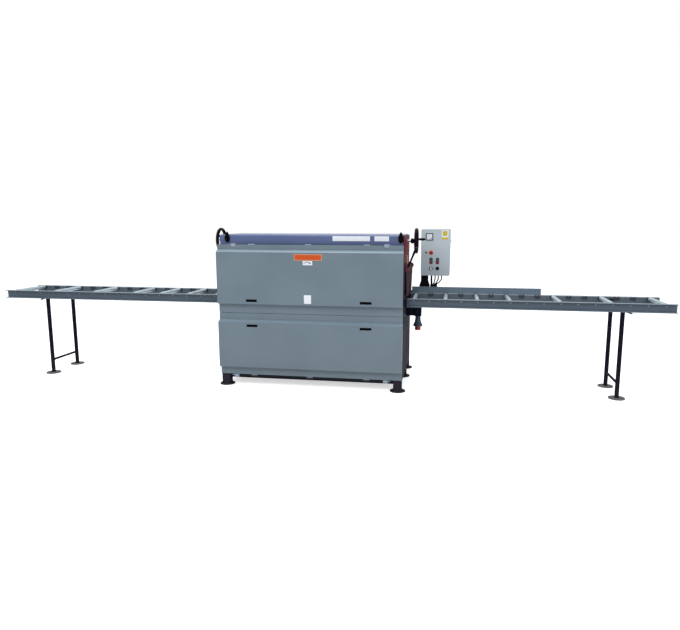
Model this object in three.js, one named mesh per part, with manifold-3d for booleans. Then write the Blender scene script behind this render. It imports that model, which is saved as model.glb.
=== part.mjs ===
// A multi rip saw: a top-arbor gang saw between two roller tables.
// Millimetres. +X is the infeed end, timber runs towards -X, -Y is the operator's side, +Z is up.
// While it is built, Y is zero on the centre line of the timber and Z is zero on the floor.
import * as THREE from "three";
import { mergeVertices } from "three/addons/utils/BufferGeometryUtils.js";
import Module from "manifold-3d";

// Running gaps and cuts
const seatGap = 0.3;
const runGap = 0.5;
const overrun = 5;
const sheet = 3;
const weldTolerance = 0.001;
const roundSides = 8;
const rollerSides = 10;
const boreSides = 12;
const fineSides = 16;
const slimSides = 6;
const cableSteps = 5;
const arcSteps = 4;

// Timber line: height of the roller tops, and the opening between the guide rails
const passLine = 905;
const throatWidth = 490;
const throatHeight = 298;

// Main frame
const frameHalf = 905;
const postWidth = 80;
const postFront = -350;
const midPostY = 250;
const midPostDepth = 70;
const rearPostY = 630;
const rearPostDepth = 80;
const arborRise = 205;
const arborZ = passLine + arborRise;
const postRise = 275;
const postTop = arborZ + postRise;
const railInset = 4;
const deckDrop = 5;
const rearDeck = passLine - deckDrop;
const footRadius = 75;
const footThick = 10;
const baseRailLow = 83;
const baseRailHigh = 143;
const baseRailInset = 25;
const baseRailFront = postFront + baseRailInset;
const baseRailDepth = 50;
const endSheetLow = 100;
const endSheetDrop = 83;
const endSheetHigh = passLine - endSheetDrop;
const splitDrop = 170;
const split = passLine - splitDrop;
const strikeHalf = 23;
const strikeLow = split - strikeHalf;
const strikeHigh = split + strikeHalf;
const strikeInset = 2;
const strikeFront = postFront + strikeInset;
const strikeDepth = 40;
const bedBeamDrop = 105;
const bedBeamLow = passLine - bedBeamDrop;
const bedBeamHeight = 80;
const bedBeamHigh = bedBeamLow + bedBeamHeight;
const bedBeamY = -300;
const bedBeamDepth = 52;
const bedThick = 12;
const bedDrop = 8;
const topRailHeight = 40;
const topRailInset = 12;
const topRailFront = postFront + topRailInset;
const sawPitHalf = 240;
const rollerPitHalf = 75;
const rollerX = 500;
const motorRailX = 190;
const motorRailWidth = 60;
const housingRailX = 160;
const columnRadius = 18;
const padReach = 38;
const padDrop = 79;
const padLow = passLine - padDrop;
const padHeight = 68;
const padHigh = padLow + padHeight;
const padY = 232;
const padDepth = 40;
const railStart = frameHalf + padReach + seatGap;

// Front covers, sheet steel with a raised centre panel
const coverLap = 5;
const coverHalf = frameHalf + coverLap;
const coverGap = 2;
const coverBack = postFront - coverGap;
const coverBandReach = 6;
const coverBand = postFront - coverBandReach;
const coverBulge = 44;
const coverFront = coverBand - coverBulge;
const upperTopRise = 21;
const upperTop = postTop + upperTopRise;
const upperLedgeDrop = 48;
const upperLedgeHigh = upperTop - upperLedgeDrop;
const ledgeHeight = 22;
const upperLedgeLow = upperLedgeHigh - ledgeHeight;
const upperReturnRise = 95;
const upperReturn = split + upperReturnRise;
const undercut = 8;
const splitGap = 3;
const lowerLedgeDrop = 65;
const lowerLedgeHigh = split - lowerLedgeDrop;
const lowerLedgeHeight = 20;
const lowerLedgeLow = lowerLedgeHigh - lowerLedgeHeight;
const lowerBottom = 117;
const lowerReturnRise = 81;
const lowerReturn = lowerBottom + lowerReturnRise;
const slotInset = 343;
const slotX = frameHalf - slotInset;
const slotWidth = 112;
const slotHeight = 26;
const upperSlotRise = 35;
const upperSlotZ = upperReturn + upperSlotRise;
const lowerSlotDrop = 33;
const lowerSlotZ = lowerLedgeLow - lowerSlotDrop;
const slotLip = 12;

// Cover hinges: a rod in two fixed lugs, through knuckles rolled on the cover
const hingeRod = 6;
const knuckleRadius = 10;
const knuckleLength = 60;
const knuckleAtShares = [-0.62, 0, 0.62];
const hingeInset = 8;
const hingeY = postFront + hingeInset;
const upperHingeRise = 17;
const upperHingeZ = postTop + upperHingeRise;
const lowerHingeDrop = 14;
const lowerHingeZ = lowerBottom - lowerHingeDrop;
const lugInset = 155;
const lugX = frameHalf - lugInset;
const lugWidth = 44;
const lugHeight = 30;
const lugNotchDepth = 20;

// Top hood and its rubber cover stops
const hoodFront = -300;
const hoodRearGap = 2;
const hoodRear = midPostY + midPostDepth + hoodRearGap;
const hoodRise = 115;
const hoodTop = postTop + hoodRise;
const hoodInset = 5;
const hoodHalf = frameHalf - hoodInset;
const hoodChamfer = 12;
const hoodRearRise = 8;
const hoodRearLow = rearDeck + hoodRearRise;
const hoodBossRadius = 28;
const hoodBossLength = 22;
const stopInsets = { outfeed: 82, infeed: 27 };
const stopWidthShares = [0.45, 0.9, 1, 0.65, 0.12];
const stopHeightShares = [0, 0.25, 0.5, 0.75, 1];
const stopWidth = 50;
const stopRise = 40;
const stopLow = postTop + stopRise;
const stopHeight = 105;
const stopDepth = 34;
const stopThick = 12;

// Infeed end plate and the kickback fingers
const endPlateThick = 8;
const endPlateDrop = 8;
const endPlateTop = hoodTop - endPlateDrop;
const fingerReach = 35;
const fingerX = frameHalf + fingerReach;
const fingerRise = 280;
const fingerZ = passLine + fingerRise;
const fingerShaft = 9;
const fingerHub = 15;
const fingerTipRise = 11;
const fingerTipZ = passLine + fingerTipRise;
const fingerCount = 7;
const fingerThick = 12;
const fingerWidth = 30;
const fingerTipWidth = 12;
const leverLength = 220;
const leverRadius = 9;
const leverLean = 22;
const leverKnob = 17;
const earRadius = 28;
const earThick = 10;

// Arbor, its bearing housing and the saw blades
const arborRadius = 35;
const arborFront = -215;
const bladeSpan = 350;
const bladeCount = 5;
const bladeRadius = 222;
const bladeThick = 4;
const bladeTeeth = 16;
const gulletShares = [0.16, 0.46];
const toothDepth = 16;
const rakerCount = 4;
const rakerWidth = 12;
const rakerLowRadius = 95;
const rakerHighRadius = 160;
const sleeveRadius = 55;
const flangeRadius = 68;
const flangeThick = 16;
const nutRadius = 50;
const nutThick = 24;
const housingRadius = 78;
const housingInset = 12;
const housingFront = midPostY + housingInset;
const pulleyInset = 40;
const pulleyY = rearPostY - pulleyInset;
const pulleyClearance = 45;
const housingRear = pulleyY - pulleyClearance;
const housingFootHalf = 185;
const housingFootHeight = 26;
const housingWebHalf = 45;
const housingCapRadius = 60;
const housingCapThick = 8;

// Main motor and the belt drive
const motorZ = 372;
const motorRadius = 132;
const motorFront = 130;
const motorRear = pulleyY - pulleyClearance;
const motorFinCount = 12;
const motorFinHeight = 12;
const motorFootHalf = 110;
const motorFootHeight = 20;
const motorFootFront = 190;
const motorFootLength = 260;
const motorPlateThick = 12;
const motorPlateHalf = 240;
const terminalBox = 90;
const motorShaft = 21;
const pulleyWidth = 66;
const arborPulleyRadius = 80;
const motorPulleyRadius = 100;
const grooveCount = 3;
const grooveDepth = 9;
const beltInsetShare = 1 / 12;
const beltThick = 10;

// Feed rollers, below the timber, and the shaft gearbox that drives them
const feedRadius = 60;
const feedHalfLength = 228;
const feedFinCount = 12;
const feedFlute = 4;
const feedJournal = 18;
const journalBlockHalf = 34;
const gearboxGap = 14;
const gearboxFront = midPostY + midPostDepth + gearboxGap;
const gearboxLength = 120;
const gearboxHalf = 80;
const gearboxMotorRadius = 62;
const gearboxMotorLength = 240;

// Pressure rollers, above the timber, in yokes on screws
const pressRadius = 55;
const pressLift = 55;
const pressHalfLength = 190;
const pressJournal = 14;
const yokeHalf = 34;
const yokeBarLow = 66;
const yokeBarHeight = 44;
const yokeArmInner = 198;
const yokeArmThick = 22;
const yokeArmDrop = 26;
const sleeveWall = 12;
const yokeSleeveHeight = 90;
const screwRadius = 11;
const screwLowRise = 151;
const screwLow = passLine + screwLowRise;
const screwOffset = 90;
const screwCollarRadius = 20;
const screwCollarThick = 7;
const bevelRadius = 22;
const bevelSmallShare = 0.5;
const bevelThick = 12;
const nutBlock = 24;

// Height shaft along the hood, with a handwheel at each end
const shaftY = 70;
const shaftRise = 51;
const shaftZ = postTop + shaftRise;
const shaftRadius = 12;
const wheelReach = 95;
const infeedWheelX = frameHalf + wheelReach;
const outfeedWheelReach = 129;
const outfeedWheelX = frameHalf + outfeedWheelReach;
const wheelRadius = 125;
const wheelRim = 13;
const wheelHub = 26;
const wheelHubLength = 70;
const wheelSpokes = 3;
const spokeRadius = 8;
const wheelDish = 20;
const gripRadius = 13;
const gripLength = 86;
const gripStem = 6;
const gripNeck = 8;
const gripAngle = 170;

// Rear cover over the drive
const rearCoverInset = 2;
const rearCoverHalf = hoodHalf - rearCoverInset;
const rearCoverLow = 110;
const guardHalf = 208;
const guardRise = 152;
const guardTop = arborZ + guardRise;
const guardSlope = 60;
const louvreCount = 8;
const louvreWidth = 180;
const louvreHeight = 10;
const louvrePitch = 30;
const louvreLow = 300;
const louvreX = 420;

// Roller tables
const railLength = 2401;
const railY = 237;
const railHeight = 80;
const rollerProud = 5;
const railTop = passLine - rollerProud;
const railFlange = 43;
const railWall = 5;
const slotLead = 95;
const slotFirst = frameHalf + slotLead;
const slotsPerRail = 16;
const slotMargins = 151;
const slotPitch = (railLength - slotMargins) / (slotsPerRail - 1);
const rollerSlots = [1, 3, 5, 7, 10, 13, 16];
const saddleWidth = 46;
const saddleThick = 14;
const saddleDrop = 1;
const saddleFloor = 9;
const tableRollerRadius = 20;
const tableRollerGap = 2;
const tableAxle = 8;
const tieHeight = 18;
const tieWidth = 36;
const railEndPlate = 6;

// Table legs
const legSlot = 13;
const legLead = 96;
const legX = slotFirst + (legSlot - 1) * slotPitch + legLead;
const legRadius = 20;
const socketWall = 5;
const socketDrop = 93;
const socketLow = passLine - socketDrop;
const socketHeight = 60;
const socketHigh = socketLow + socketHeight;
const socketTie = 36;
const legTopRise = 8;
const legTop = socketHigh + legTopRise;
const legBarZ = 145;
const legBarRadius = 10;
const clampReach = 60;
const clampRadius = 7;
const clampDrop = 20;
const weldSink = 1;

// Fence on the far rail of the infeed table
const fenceLead = 48;
const fenceStart = frameHalf + fenceLead;
const fenceLength = 1282;
const fenceHeight = 65;
const fenceThick = 6;

// Control box, its door and controls
const boxReach = 125;
const boxX = frameHalf + boxReach;
const boxWidth = 300;
const armInset = 150;
const armY = rearPostY - armInset;
const boxOverhang = 59;
const boxY = armY - boxOverhang;
const boxDepth = 180;
const boxRise = 160;
const boxZ = passLine + boxRise;
const boxHeight = 480;
const boxWall = 3;
const doorDepth = 20;
const doorCorner = 14;
const doorHinge = 5;
const plateInset = 14;
const meterSize = 74;
const meterProud = 7;
const meterReach = 85;
const meterX = boxX + meterReach;
const meterRise = 404;
const meterZ = boxZ + meterRise;
const controlReach = 106;
const controlColumn = boxX + controlReach;
const controlSpacing = 67;
const controlColumnTwo = controlColumn + controlSpacing;
const stopRowRise = 240;
const stopRowZ = boxZ + stopRowRise;
const buttonRowRise = 154;
const buttonRowZ = boxZ + buttonRowRise;
const selectorRowRise = 76;
const selectorRowZ = boxZ + selectorRowRise;
const mushroomRadius = 20;
const mushroomThick = 14;
const mushroomCrownShare = 0.7;
const stemRadius = 11;
const stemBack = 12;
const buttonTravel = 4;
const bezelWidth = 32;
const bezelHeight = 64;
const bezelProud = 4;
const plungerSize = 22;
const plungerProud = 4;
const plungerSpacing = 25;
const knobRadius = 15;
const knobThick = 18;
const knobGrip = 8;
const collarRadius = 17;
const lampSpacing = 50;
const lampX = controlColumn - lampSpacing;
const lampRadius = 9;

// Post and arm that carry the control box, and its cables
const armDrop = 66;
const armLow = rearDeck - armDrop;
const armHeight = 58;
const armHigh = armLow + armHeight;
const armDepth = 60;
const armReach = 185;
const armEnd = boxX + armReach;
const controlPostX = boxX;
const controlPostWidth = 76;
const postSpread = 16;
const postSpreadDrop = 110;
const postSpreadLow = boxZ - postSpreadDrop;
const postSpreadHeight = 45;
const postSpreadHigh = postSpreadLow + postSpreadHeight;
const armPlate = 10;
const armPlateMargin = 20;
const cableReaches = [110, 148, 181, 216];
const cableX = cableReaches.map((reach) => boxX + reach);
const cableRadii = [9, 5, 5, 5];
const cableInset = 31;
const cableY = armY + cableInset;
const cableGlandRadius = 12;
const cableGlandHeight = 14;
const cableBlockReach = 98;
const cableBlockX = boxX + cableBlockReach;
const cableBlockWidth = 74;
const cableBlockDrop = 103;
const cableBlockHigh = boxZ - cableBlockDrop;
const cableSag = 62;

// Power inlet, which hangs under the infeed table beside the frame
const inletReach = 113;
const inletX = frameHalf + inletReach;
const inletY = 262;
const inletDrop = 249;
const inletBlockLow = passLine - inletDrop;
const inletBlockHeight = 112;
const inletBlockHigh = inletBlockLow + inletBlockHeight;
const inletBlockHalf = 36;
const inletNeck = 28;
const inletBell = 50;
const inletBellDrop = 90;
const inletBellZ = inletBlockLow - inletBellDrop;
const inletBellThick = 16;
const inletEndRadius = 31;
const inletEndDrop = 58;
const inletEndLow = inletBellZ - inletEndDrop;
const inletBore = 24;
const inletBoreDepth = 30;

// Paints, metals and plastics
const paint = (color, roughness, metalness) => ({ color, roughness, metalness });
const navyPaint = paint(0x1e283c, 0.5, 0.1);
const coverPaint = paint(0x6e7f8a, 0.5, 0.1);
const beamPaint = paint(0x586491, 0.5, 0.1);
const redPaint = paint(0x8c2a2a, 0.5, 0.1);
const railPaint = paint(0x55646e, 0.5, 0.1);
const boxPaint = paint(0xa5acb6, 0.5, 0.1);
const steel = paint(0xb4b8bc, 0.35, 0.9);
const zinc = paint(0xa8b8c0, 0.4, 0.8);
const castIron = paint(0x4a5058, 0.7, 0.4);
const motorPaint = paint(0x5d6b74, 0.6, 0.2);
const black = paint(0x17181a, 0.7, 0);
const inletGrey = paint(0x5c6470, 0.6, 0);
const redPlastic = paint(0xb02020, 0.5, 0);
const greenPlastic = paint(0x1f8a4a, 0.5, 0);
const whitePlastic = paint(0xd8dadc, 0.5, 0);

// Solids from three.js geometry, joined and cut with manifold-3d
const wasm = await Module();
wasm.setup();

function solidOf(geometry) {
  const bare = geometry.index ? geometry.toNonIndexed() : geometry.clone();
  bare.deleteAttribute("normal");
  bare.deleteAttribute("uv");
  const merged = mergeVertices(bare, weldTolerance);
  const triVerts = new Uint32Array(merged.index.array);
  const vertProperties = merged.attributes.position.array;
  return new wasm.Manifold(new wasm.Mesh({ numProp: 3, vertProperties, triVerts }));
}

function geometryOf(solid) {
  const mesh = solid.getMesh();
  const geometry = new THREE.BufferGeometry();
  geometry.setAttribute("position", new THREE.BufferAttribute(mesh.vertProperties, mesh.numProp));
  geometry.setIndex(new THREE.BufferAttribute(mesh.triVerts, 1));
  return geometry;
}

const join = (...solids) => solids.flat().reduce((all, one) => all.add(one));
const cut = (body, ...tools) => tools.flat().reduce((all, one) => all.subtract(one), body);
const steps = (count) => Array.from({ length: count }, (_, index) => index);

// Frames that carry a drawing plane (u, v) and its depth to the part: one for each direction of depth
const planes = {
  x: new THREE.Matrix4().makeBasis(
    new THREE.Vector3(0, 1, 0),
    new THREE.Vector3(0, 0, 1),
    new THREE.Vector3(1, 0, 0),
  ),
  y: new THREE.Matrix4().makeBasis(
    new THREE.Vector3(0, 0, 1),
    new THREE.Vector3(1, 0, 0),
    new THREE.Vector3(0, 1, 0),
  ),
  z: new THREE.Matrix4(),
};

// A block between two corners
function block(x0, x1, y0, y1, z0, z1) {
  const geometry = new THREE.BoxGeometry(x1 - x0, y1 - y0, z1 - z0);
  geometry.translate((x0 + x1) / 2, (y0 + y1) / 2, (z0 + z1) / 2);
  return solidOf(geometry);
}

// An outline pushed along x, y or z. Its points are [y, z], [x, z] or [x, y].
function pushed(along, points, from, to) {
  const turned = along === "y" ? points.map(([u, v]) => [v, u]) : points;
  const shape = new THREE.Shape(turned.map(([u, v]) => new THREE.Vector2(u, v)));
  const geometry = new THREE.ExtrudeGeometry(shape, { depth: to - from, bevelEnabled: false });
  geometry.translate(0, 0, from);
  geometry.applyMatrix4(planes[along]);
  return solidOf(geometry);
}

// A solid of revolution about x, y or z. Its profile is [radius, place along the axis], rising.
function revolved(along, profile, centre, sides = roundSides) {
  const points = profile.map(([radius, place]) => new THREE.Vector2(radius, place));
  const geometry = new THREE.LatheGeometry(points, sides);
  geometry.rotateX(Math.PI / 2);
  geometry.applyMatrix4(planes[along]);
  geometry.translate(...centre);
  return solidOf(geometry);
}

// A round bar along x, y or z
function bar(along, radius, from, to, centre, sides = roundSides) {
  const profile = [
    [0, from],
    [radius, from],
    [radius, to],
    [0, to],
  ];
  return revolved(along, profile, centre, sides);
}

// The radius of a faceted bore in which a faceted bar of this radius can turn
const boreFor = (radius, gap, sides = boreSides) => (radius + gap) / Math.cos(Math.PI / sides);

// The radius of a faceted bore that is fixed round a faceted bar, with their flats in line
const seatFor = (radius, sides = roundSides) => radius + seatGap / Math.cos(Math.PI / sides);

// A round bar between any two points
function strut(start, end, radius, sides = roundSides) {
  const a = new THREE.Vector3(...start);
  const b = new THREE.Vector3(...end);
  const path = new THREE.LineCurve3(a, b);
  const geometry = new THREE.CylinderGeometry(radius, radius, path.getLength(), sides);
  const up = new THREE.Vector3(0, 1, 0);
  const direction = b.clone().sub(a).normalize();
  geometry.applyQuaternion(new THREE.Quaternion().setFromUnitVectors(up, direction));
  geometry.translate(...path.getPoint(1 / 2).toArray());
  return solidOf(geometry);
}

// A tube along a smooth curve, with a step at each share of its length
function tube(points, radius, stepCount, sides) {
  const path = new THREE.CatmullRomCurve3(points.map((point) => new THREE.Vector3(...point)));
  const ring = steps(sides).map((index) => {
    const angle = (2 * Math.PI * index) / sides;
    return new THREE.Vector2(radius * Math.cos(angle), radius * Math.sin(angle));
  });
  const options = { steps: stepCount, extrudePath: path, bevelEnabled: false };
  return solidOf(new THREE.ExtrudeGeometry(new THREE.Shape(ring), options));
}

// A line of points, moved by one thickness to its left
function insetLine(points, thickness) {
  const vectors = points.map(([u, v]) => new THREE.Vector2(u, v));
  const normals = vectors.slice(1).map((point, index) => {
    const along = point.clone().sub(vectors[index]).normalize();
    return new THREE.Vector2(-along.y, along.x);
  });
  return vectors.map((point, index) => {
    const before = normals[Math.max(index - 1, 0)];
    const after = normals[Math.min(index, normals.length - 1)];
    const middle = before.clone().add(after).normalize();
    return point.clone().addScaledVector(middle, thickness / middle.dot(before)).toArray();
  });
}

// The closed outline of a bent sheet
const bentSheet = (points, thickness) => [...points, ...insetLine(points, thickness).reverse()];

// A shallow pan of sheet along x: a bent line with an end at each side, open between its edges.
// The mouth is the depth at which the ends stop.
function pan(line, half, mouth) {
  const outline = [...line, [mouth, line.at(-1)[1]], [mouth, line[0][1]]];
  const inner = insetLine(line, sheet);
  const first = inner[0];
  const last = inner.at(-1);
  const down = Math.sign(last[1] - first[1]) * overrun;
  const hollow = [
    [first[0], first[1] - down],
    ...inner,
    [last[0], last[1] + down],
    [mouth + overrun, last[1] + down],
    [mouth + overrun, first[1] - down],
  ];
  return cut(pushed("x", outline, -half, half), pushed("x", hollow, sheet - half, half - sheet));
}

// A rectangle with cut corners, as points
function cutCorners(u0, u1, v0, v1, corner) {
  return [
    [u0 + corner, v0],
    [u1 - corner, v0],
    [u1, v0 + corner],
    [u1, v1 - corner],
    [u1 - corner, v1],
    [u0 + corner, v1],
    [u0, v1 - corner],
    [u0, v0 + corner],
  ];
}

function part(name, solid, finish) {
  const mesh = new THREE.Mesh(geometryOf(solid), new THREE.MeshStandardMaterial(finish));
  mesh.name = name;
  return mesh;
}

const saw = new THREE.Group();

// Main frame: six legs on foot plates, base rails, end sheets, bed and top rails, in one weldment
const postCentre = frameHalf - postWidth / 2;
const midPostRear = midPostY + midPostDepth;
const rearPostRear = rearPostY + rearPostDepth;
const bedBeamRear = bedBeamY + bedBeamDepth;
const frontColumnY = bedBeamY + bedBeamDepth / 2;
const rearColumnY = midPostY + midPostDepth / 2;
const bedTop = passLine - bedDrop;
const screwBore = boreFor(screwRadius, runGap);
const feedZ = passLine - feedRadius;
const screwX = rollerX + screwOffset;

function leg(x, y, depth, top) {
  const post = block(x - postWidth / 2, x + postWidth / 2, y, y + depth, footThick / 2, top);
  const plate = bar("z", footRadius, 0, footThick, [x, y + depth / 2, 0], rollerSides);
  return join(post, plate);
}

function baseFrame() {
  const parts = [];
  [-postCentre, postCentre].forEach((x) => {
    parts.push(leg(x, postFront, postWidth, postTop - topRailHeight / 2));
    parts.push(leg(x, midPostY, midPostDepth, postTop - topRailHeight / 2));
    parts.push(leg(x, rearPostY, rearPostDepth, rearDeck - railInset));
    const side = Math.sign(x);
    const inner = side * (frameHalf - postWidth + railInset);
    const outer = side * (frameHalf - railInset);
    const low = Math.min(inner, outer);
    const high = Math.max(inner, outer);
    const front = postFront + postWidth / 2;
    const rear = rearPostY + rearPostDepth / 2;
    parts.push(block(low, high, front, rear, baseRailLow, baseRailHigh));
    parts.push(block(low, high, midPostY + railInset, rear, bedBeamLow + railInset, rearDeck));
    const skin = side * (frameHalf - railInset / 2 - sheet);
    const face = side * (frameHalf - railInset / 2);
    const sheetLow = Math.min(skin, face);
    const sheetHigh = Math.max(skin, face);
    parts.push(block(sheetLow, sheetHigh, front, rear, endSheetLow, endSheetHigh));
  });
  const rails = [baseRailFront, rearPostRear - railInset - baseRailDepth];
  rails.forEach((y) => {
    parts.push(block(-postCentre, postCentre, y, y + baseRailDepth, baseRailLow + railInset, baseRailHigh));
  });
  parts.push(
    block(-postCentre, postCentre, strikeFront, strikeFront + strikeDepth, strikeLow, strikeHigh),
  );
  parts.push(block(-postCentre, postCentre, rearPostY + railInset, rearPostRear, bedBeamLow, rearDeck));
  return parts;
}

// Two rails and a plate across them, on which the main motor stands
function motorRails() {
  const rails = [-motorRailX, motorRailX].map((x) => {
    const half = motorRailWidth / 2;
    const front = baseRailFront + railInset;
    const rear = rearPostRear - 2 * railInset;
    return block(x - half, x + half, front, rear, baseRailLow + 2 * railInset, baseRailHigh);
  });
  const back = motorFootFront + motorFootLength + motorFootHeight;
  const front = motorFootFront - motorFootHeight;
  const top = baseRailHigh + motorPlateThick;
  const low = baseRailHigh - railInset;
  return [...rails, block(-motorPlateHalf, motorPlateHalf, front, back, low, top)];
}

function housingRails() {
  return [-housingRailX, housingRailX].map((x) => {
    const half = motorRailWidth / 2;
    const front = midPostY + railInset;
    const rear = rearPostRear - railInset;
    return block(x - half, x + half, front, rear, bedBeamLow + railInset, rearDeck);
  });
}

// Bed: two long beams, and plates between the saw pit and the feed roller pits
function bed() {
  const reach = frameHalf - railInset;
  const beams = [
    block(-reach, reach, bedBeamY, bedBeamRear, bedBeamLow, bedTop),
    block(-reach, reach, midPostY, midPostRear, bedBeamLow, bedTop),
  ];
  const bays = [
    [sawPitHalf, rollerX - rollerPitHalf],
    [rollerX + rollerPitHalf, reach],
  ];
  const plates = bays.flatMap(([near, far]) => [
    block(near, far, bedBeamY + railInset, midPostRear - railInset, bedTop - bedThick, bedTop),
    block(-far, -near, bedBeamY + railInset, midPostRear - railInset, bedTop - bedThick, bedTop),
  ]);
  return [...beams, ...plates];
}

// Top rails, cross beams that carry the lifting screws, and the columns that guide the yokes
function topFrame() {
  const low = postTop - topRailHeight;
  const parts = [
    block(-postCentre, postCentre, topRailFront, bedBeamRear, low, postTop),
    block(-postCentre, postCentre, midPostY + railInset, midPostRear, low, postTop),
  ];
  [-postCentre, -screwX, screwX, postCentre].forEach((x) => {
    const half = postWidth / 2;
    const front = topRailFront + railInset;
    const rear = midPostRear - railInset;
    parts.push(block(x - half, x + half, front, rear, low + railInset, postTop));
  });
  [-rollerX, rollerX].forEach((x) => {
    parts.push(bar("z", columnRadius, bedBeamHigh, postTop - topRailHeight / 2, [x, frontColumnY, 0]));
    parts.push(bar("z", columnRadius, bedBeamHigh, postTop - topRailHeight / 2, [x, rearColumnY, 0]));
  });
  return parts;
}

// Pads on the end walls, to which the roller tables are bolted
function tablePads() {
  return [-1, 1].flatMap((side) => {
    const inner = side * (frameHalf - 2 * overrun);
    const outer = side * (frameHalf + padReach);
    const low = Math.min(inner, outer);
    const high = Math.max(inner, outer);
    return [
      block(low, high, -padY - padDepth, -padY, padLow, padHigh),
      block(low, high, padY, padY + padDepth, padLow, padHigh),
      block(
        Math.min(side * (frameHalf - postWidth + railInset), side * (frameHalf - railInset / 2)),
        Math.max(side * (frameHalf - postWidth + railInset), side * (frameHalf - railInset / 2)),
        postFront + postWidth / 2,
        midPostY + overrun,
        bedBeamLow - railInset,
        bedTop - bedThick / 2,
      ),
    ];
  });
}

// Outfeed end sheet above the bed, with the same throat as the infeed end plate
function outfeedSheet() {
  const throatHalf = throatWidth / 2;
  const sheetBottom = bedTop - bedThick / 2;
  const front = postFront + postWidth / 2;
  const rear = midPostY + midPostDepth / 2;
  const top = postTop - topRailHeight / 2;
  const outline = [
    [front, sheetBottom],
    [-throatHalf, sheetBottom],
    [-throatHalf, passLine + throatHeight],
    [throatHalf, passLine + throatHeight],
    [throatHalf, sheetBottom],
    [rear, sheetBottom],
    [rear, top],
    [front, top],
  ];
  const face = railInset / 2 - frameHalf;
  return pushed("x", outline, face, face + sheet);
}

function frameCuts() {
  const railBottom = postTop - topRailHeight;
  const journalBore = boreFor(feedJournal, seatGap);
  const front = bedBeamY - overrun;
  const rear = midPostRear + overrun;
  const cuts = [-1, 1].flatMap((side) => [
    bar("z", screwBore, railBottom - overrun, postTop + overrun, [side * screwX, shaftY, 0], boreSides),
    bar("y", journalBore, front, rear, [side * rollerX, 0, feedZ], boreSides),
  ]);
  const housingBore = housingRadius + 2 * runGap;
  cuts.push(bar("y", housingBore, midPostY - overrun, rear, [0, 0, arborZ], fineSides));
  return cuts;
}

const mainFrame = cut(
  join(baseFrame(), motorRails(), housingRails(), bed(), topFrame(), tablePads(), outfeedSheet()),
  frameCuts(),
);
saw.add(part("main_frame", mainFrame, navyPaint));

// Infeed end plate: closes the end above the timber, and carries the kickback fingers on two ears
function infeedEndPlate() {
  const x0 = frameHalf + seatGap;
  const x1 = x0 + endPlateThick;
  const throatHalf = throatWidth / 2;
  const outline = [
    [postFront + postWidth / 2, padHigh + seatGap],
    [-throatHalf, padHigh + seatGap],
    [-throatHalf, passLine + throatHeight],
    [throatHalf, passLine + throatHeight],
    [throatHalf, padHigh + seatGap],
    [midPostRear, padHigh + seatGap],
    [midPostRear, endPlateTop],
    [postFront + postWidth / 2, endPlateTop],
  ];
  const plate = pushed("x", outline, x0, x1);
  const ears = [-1, 1].map((side) => {
    const inner = side * throatHalf;
    const y0 = Math.min(inner, inner + side * earThick);
    const arm = block(x1 - seatGap, fingerX, y0, y0 + earThick, fingerZ - earRadius, fingerZ + earRadius);
    const nose = bar("y", earRadius, y0, y0 + earThick, [fingerX, 0, fingerZ]);
    return join(arm, nose);
  });
  const bore = bar(
    "y",
    boreFor(fingerShaft, seatGap),
    -throatHalf - earThick - overrun,
    throatHalf + earThick + overrun,
    [fingerX, 0, fingerZ],
    boreSides,
  );
  const bossHole = seatFor(hoodBossRadius, rollerSides);
  const shaftHole = bar("x", bossHole, x0 - overrun, x1 + overrun, [0, shaftY, shaftZ], rollerSides);
  return cut(join(plate, ears), bore, shaftHole);
}
saw.add(part("infeed_end_plate", infeedEndPlate(), redPaint));

// Kickback fingers: one row of hooked fingers and a release lever on a cross shaft
function fingerOutline() {
  const hub = steps(arcSteps + 1).map((index) => {
    const angle = (Math.PI * index) / arcSteps;
    return [fingerX + fingerHub * Math.cos(angle), fingerZ + fingerHub * Math.sin(angle)];
  });
  const tipX = fingerX - fingerTipWidth / 2;
  return [
    ...hub,
    [fingerX - fingerHub, fingerZ - fingerWidth],
    [tipX, fingerTipZ],
    [tipX + fingerTipWidth, fingerTipZ + fingerTipWidth / 2],
    [fingerX + fingerHub, fingerZ - fingerWidth],
  ];
}

function kickbackFingers() {
  const reach = throatWidth / 2 - fingerThick;
  const pitch = (2 * reach - fingerThick) / (fingerCount - 1);
  const fingers = steps(fingerCount).map((index) => {
    const y = -reach + index * pitch;
    return pushed("y", fingerOutline(), y, y + fingerThick);
  });
  const end = throatWidth / 2 + earThick;
  const shaft = bar("y", fingerShaft, -end - leverKnob, end, [fingerX, 0, fingerZ]);
  const knob = bar("y", leverKnob, -end - 2 * leverKnob, -end - runGap, [fingerX, 0, fingerZ]);
  const lean = THREE.MathUtils.degToRad(leverLean);
  const leverY = -end - leverKnob;
  const top = [fingerX + leverLength * Math.sin(lean), leverY, fingerZ + leverLength * Math.cos(lean)];
  const lever = strut([fingerX, leverY, fingerZ], top, leverRadius);
  return join(fingers, shaft, knob, lever);
}
saw.add(part("kickback_fingers", kickbackFingers(), redPaint));

// Front covers: bent sheets with end returns and finger slots, hung on knuckles at one edge
const slotSides = [-slotX, slotX];

function coverSheet(outline, slotZ) {
  const slots = slotSides.map((x) =>
    block(
      x - slotWidth / 2,
      x + slotWidth / 2,
      coverFront - overrun,
      coverFront + sheet + overrun,
      slotZ - slotHeight / 2,
      slotZ + slotHeight / 2,
    ),
  );
  const lips = slotSides.map((x) => slotLipRing(x, slotZ));
  return join(cut(pan(outline, coverHalf, coverBack), slots), lips);
}

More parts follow.
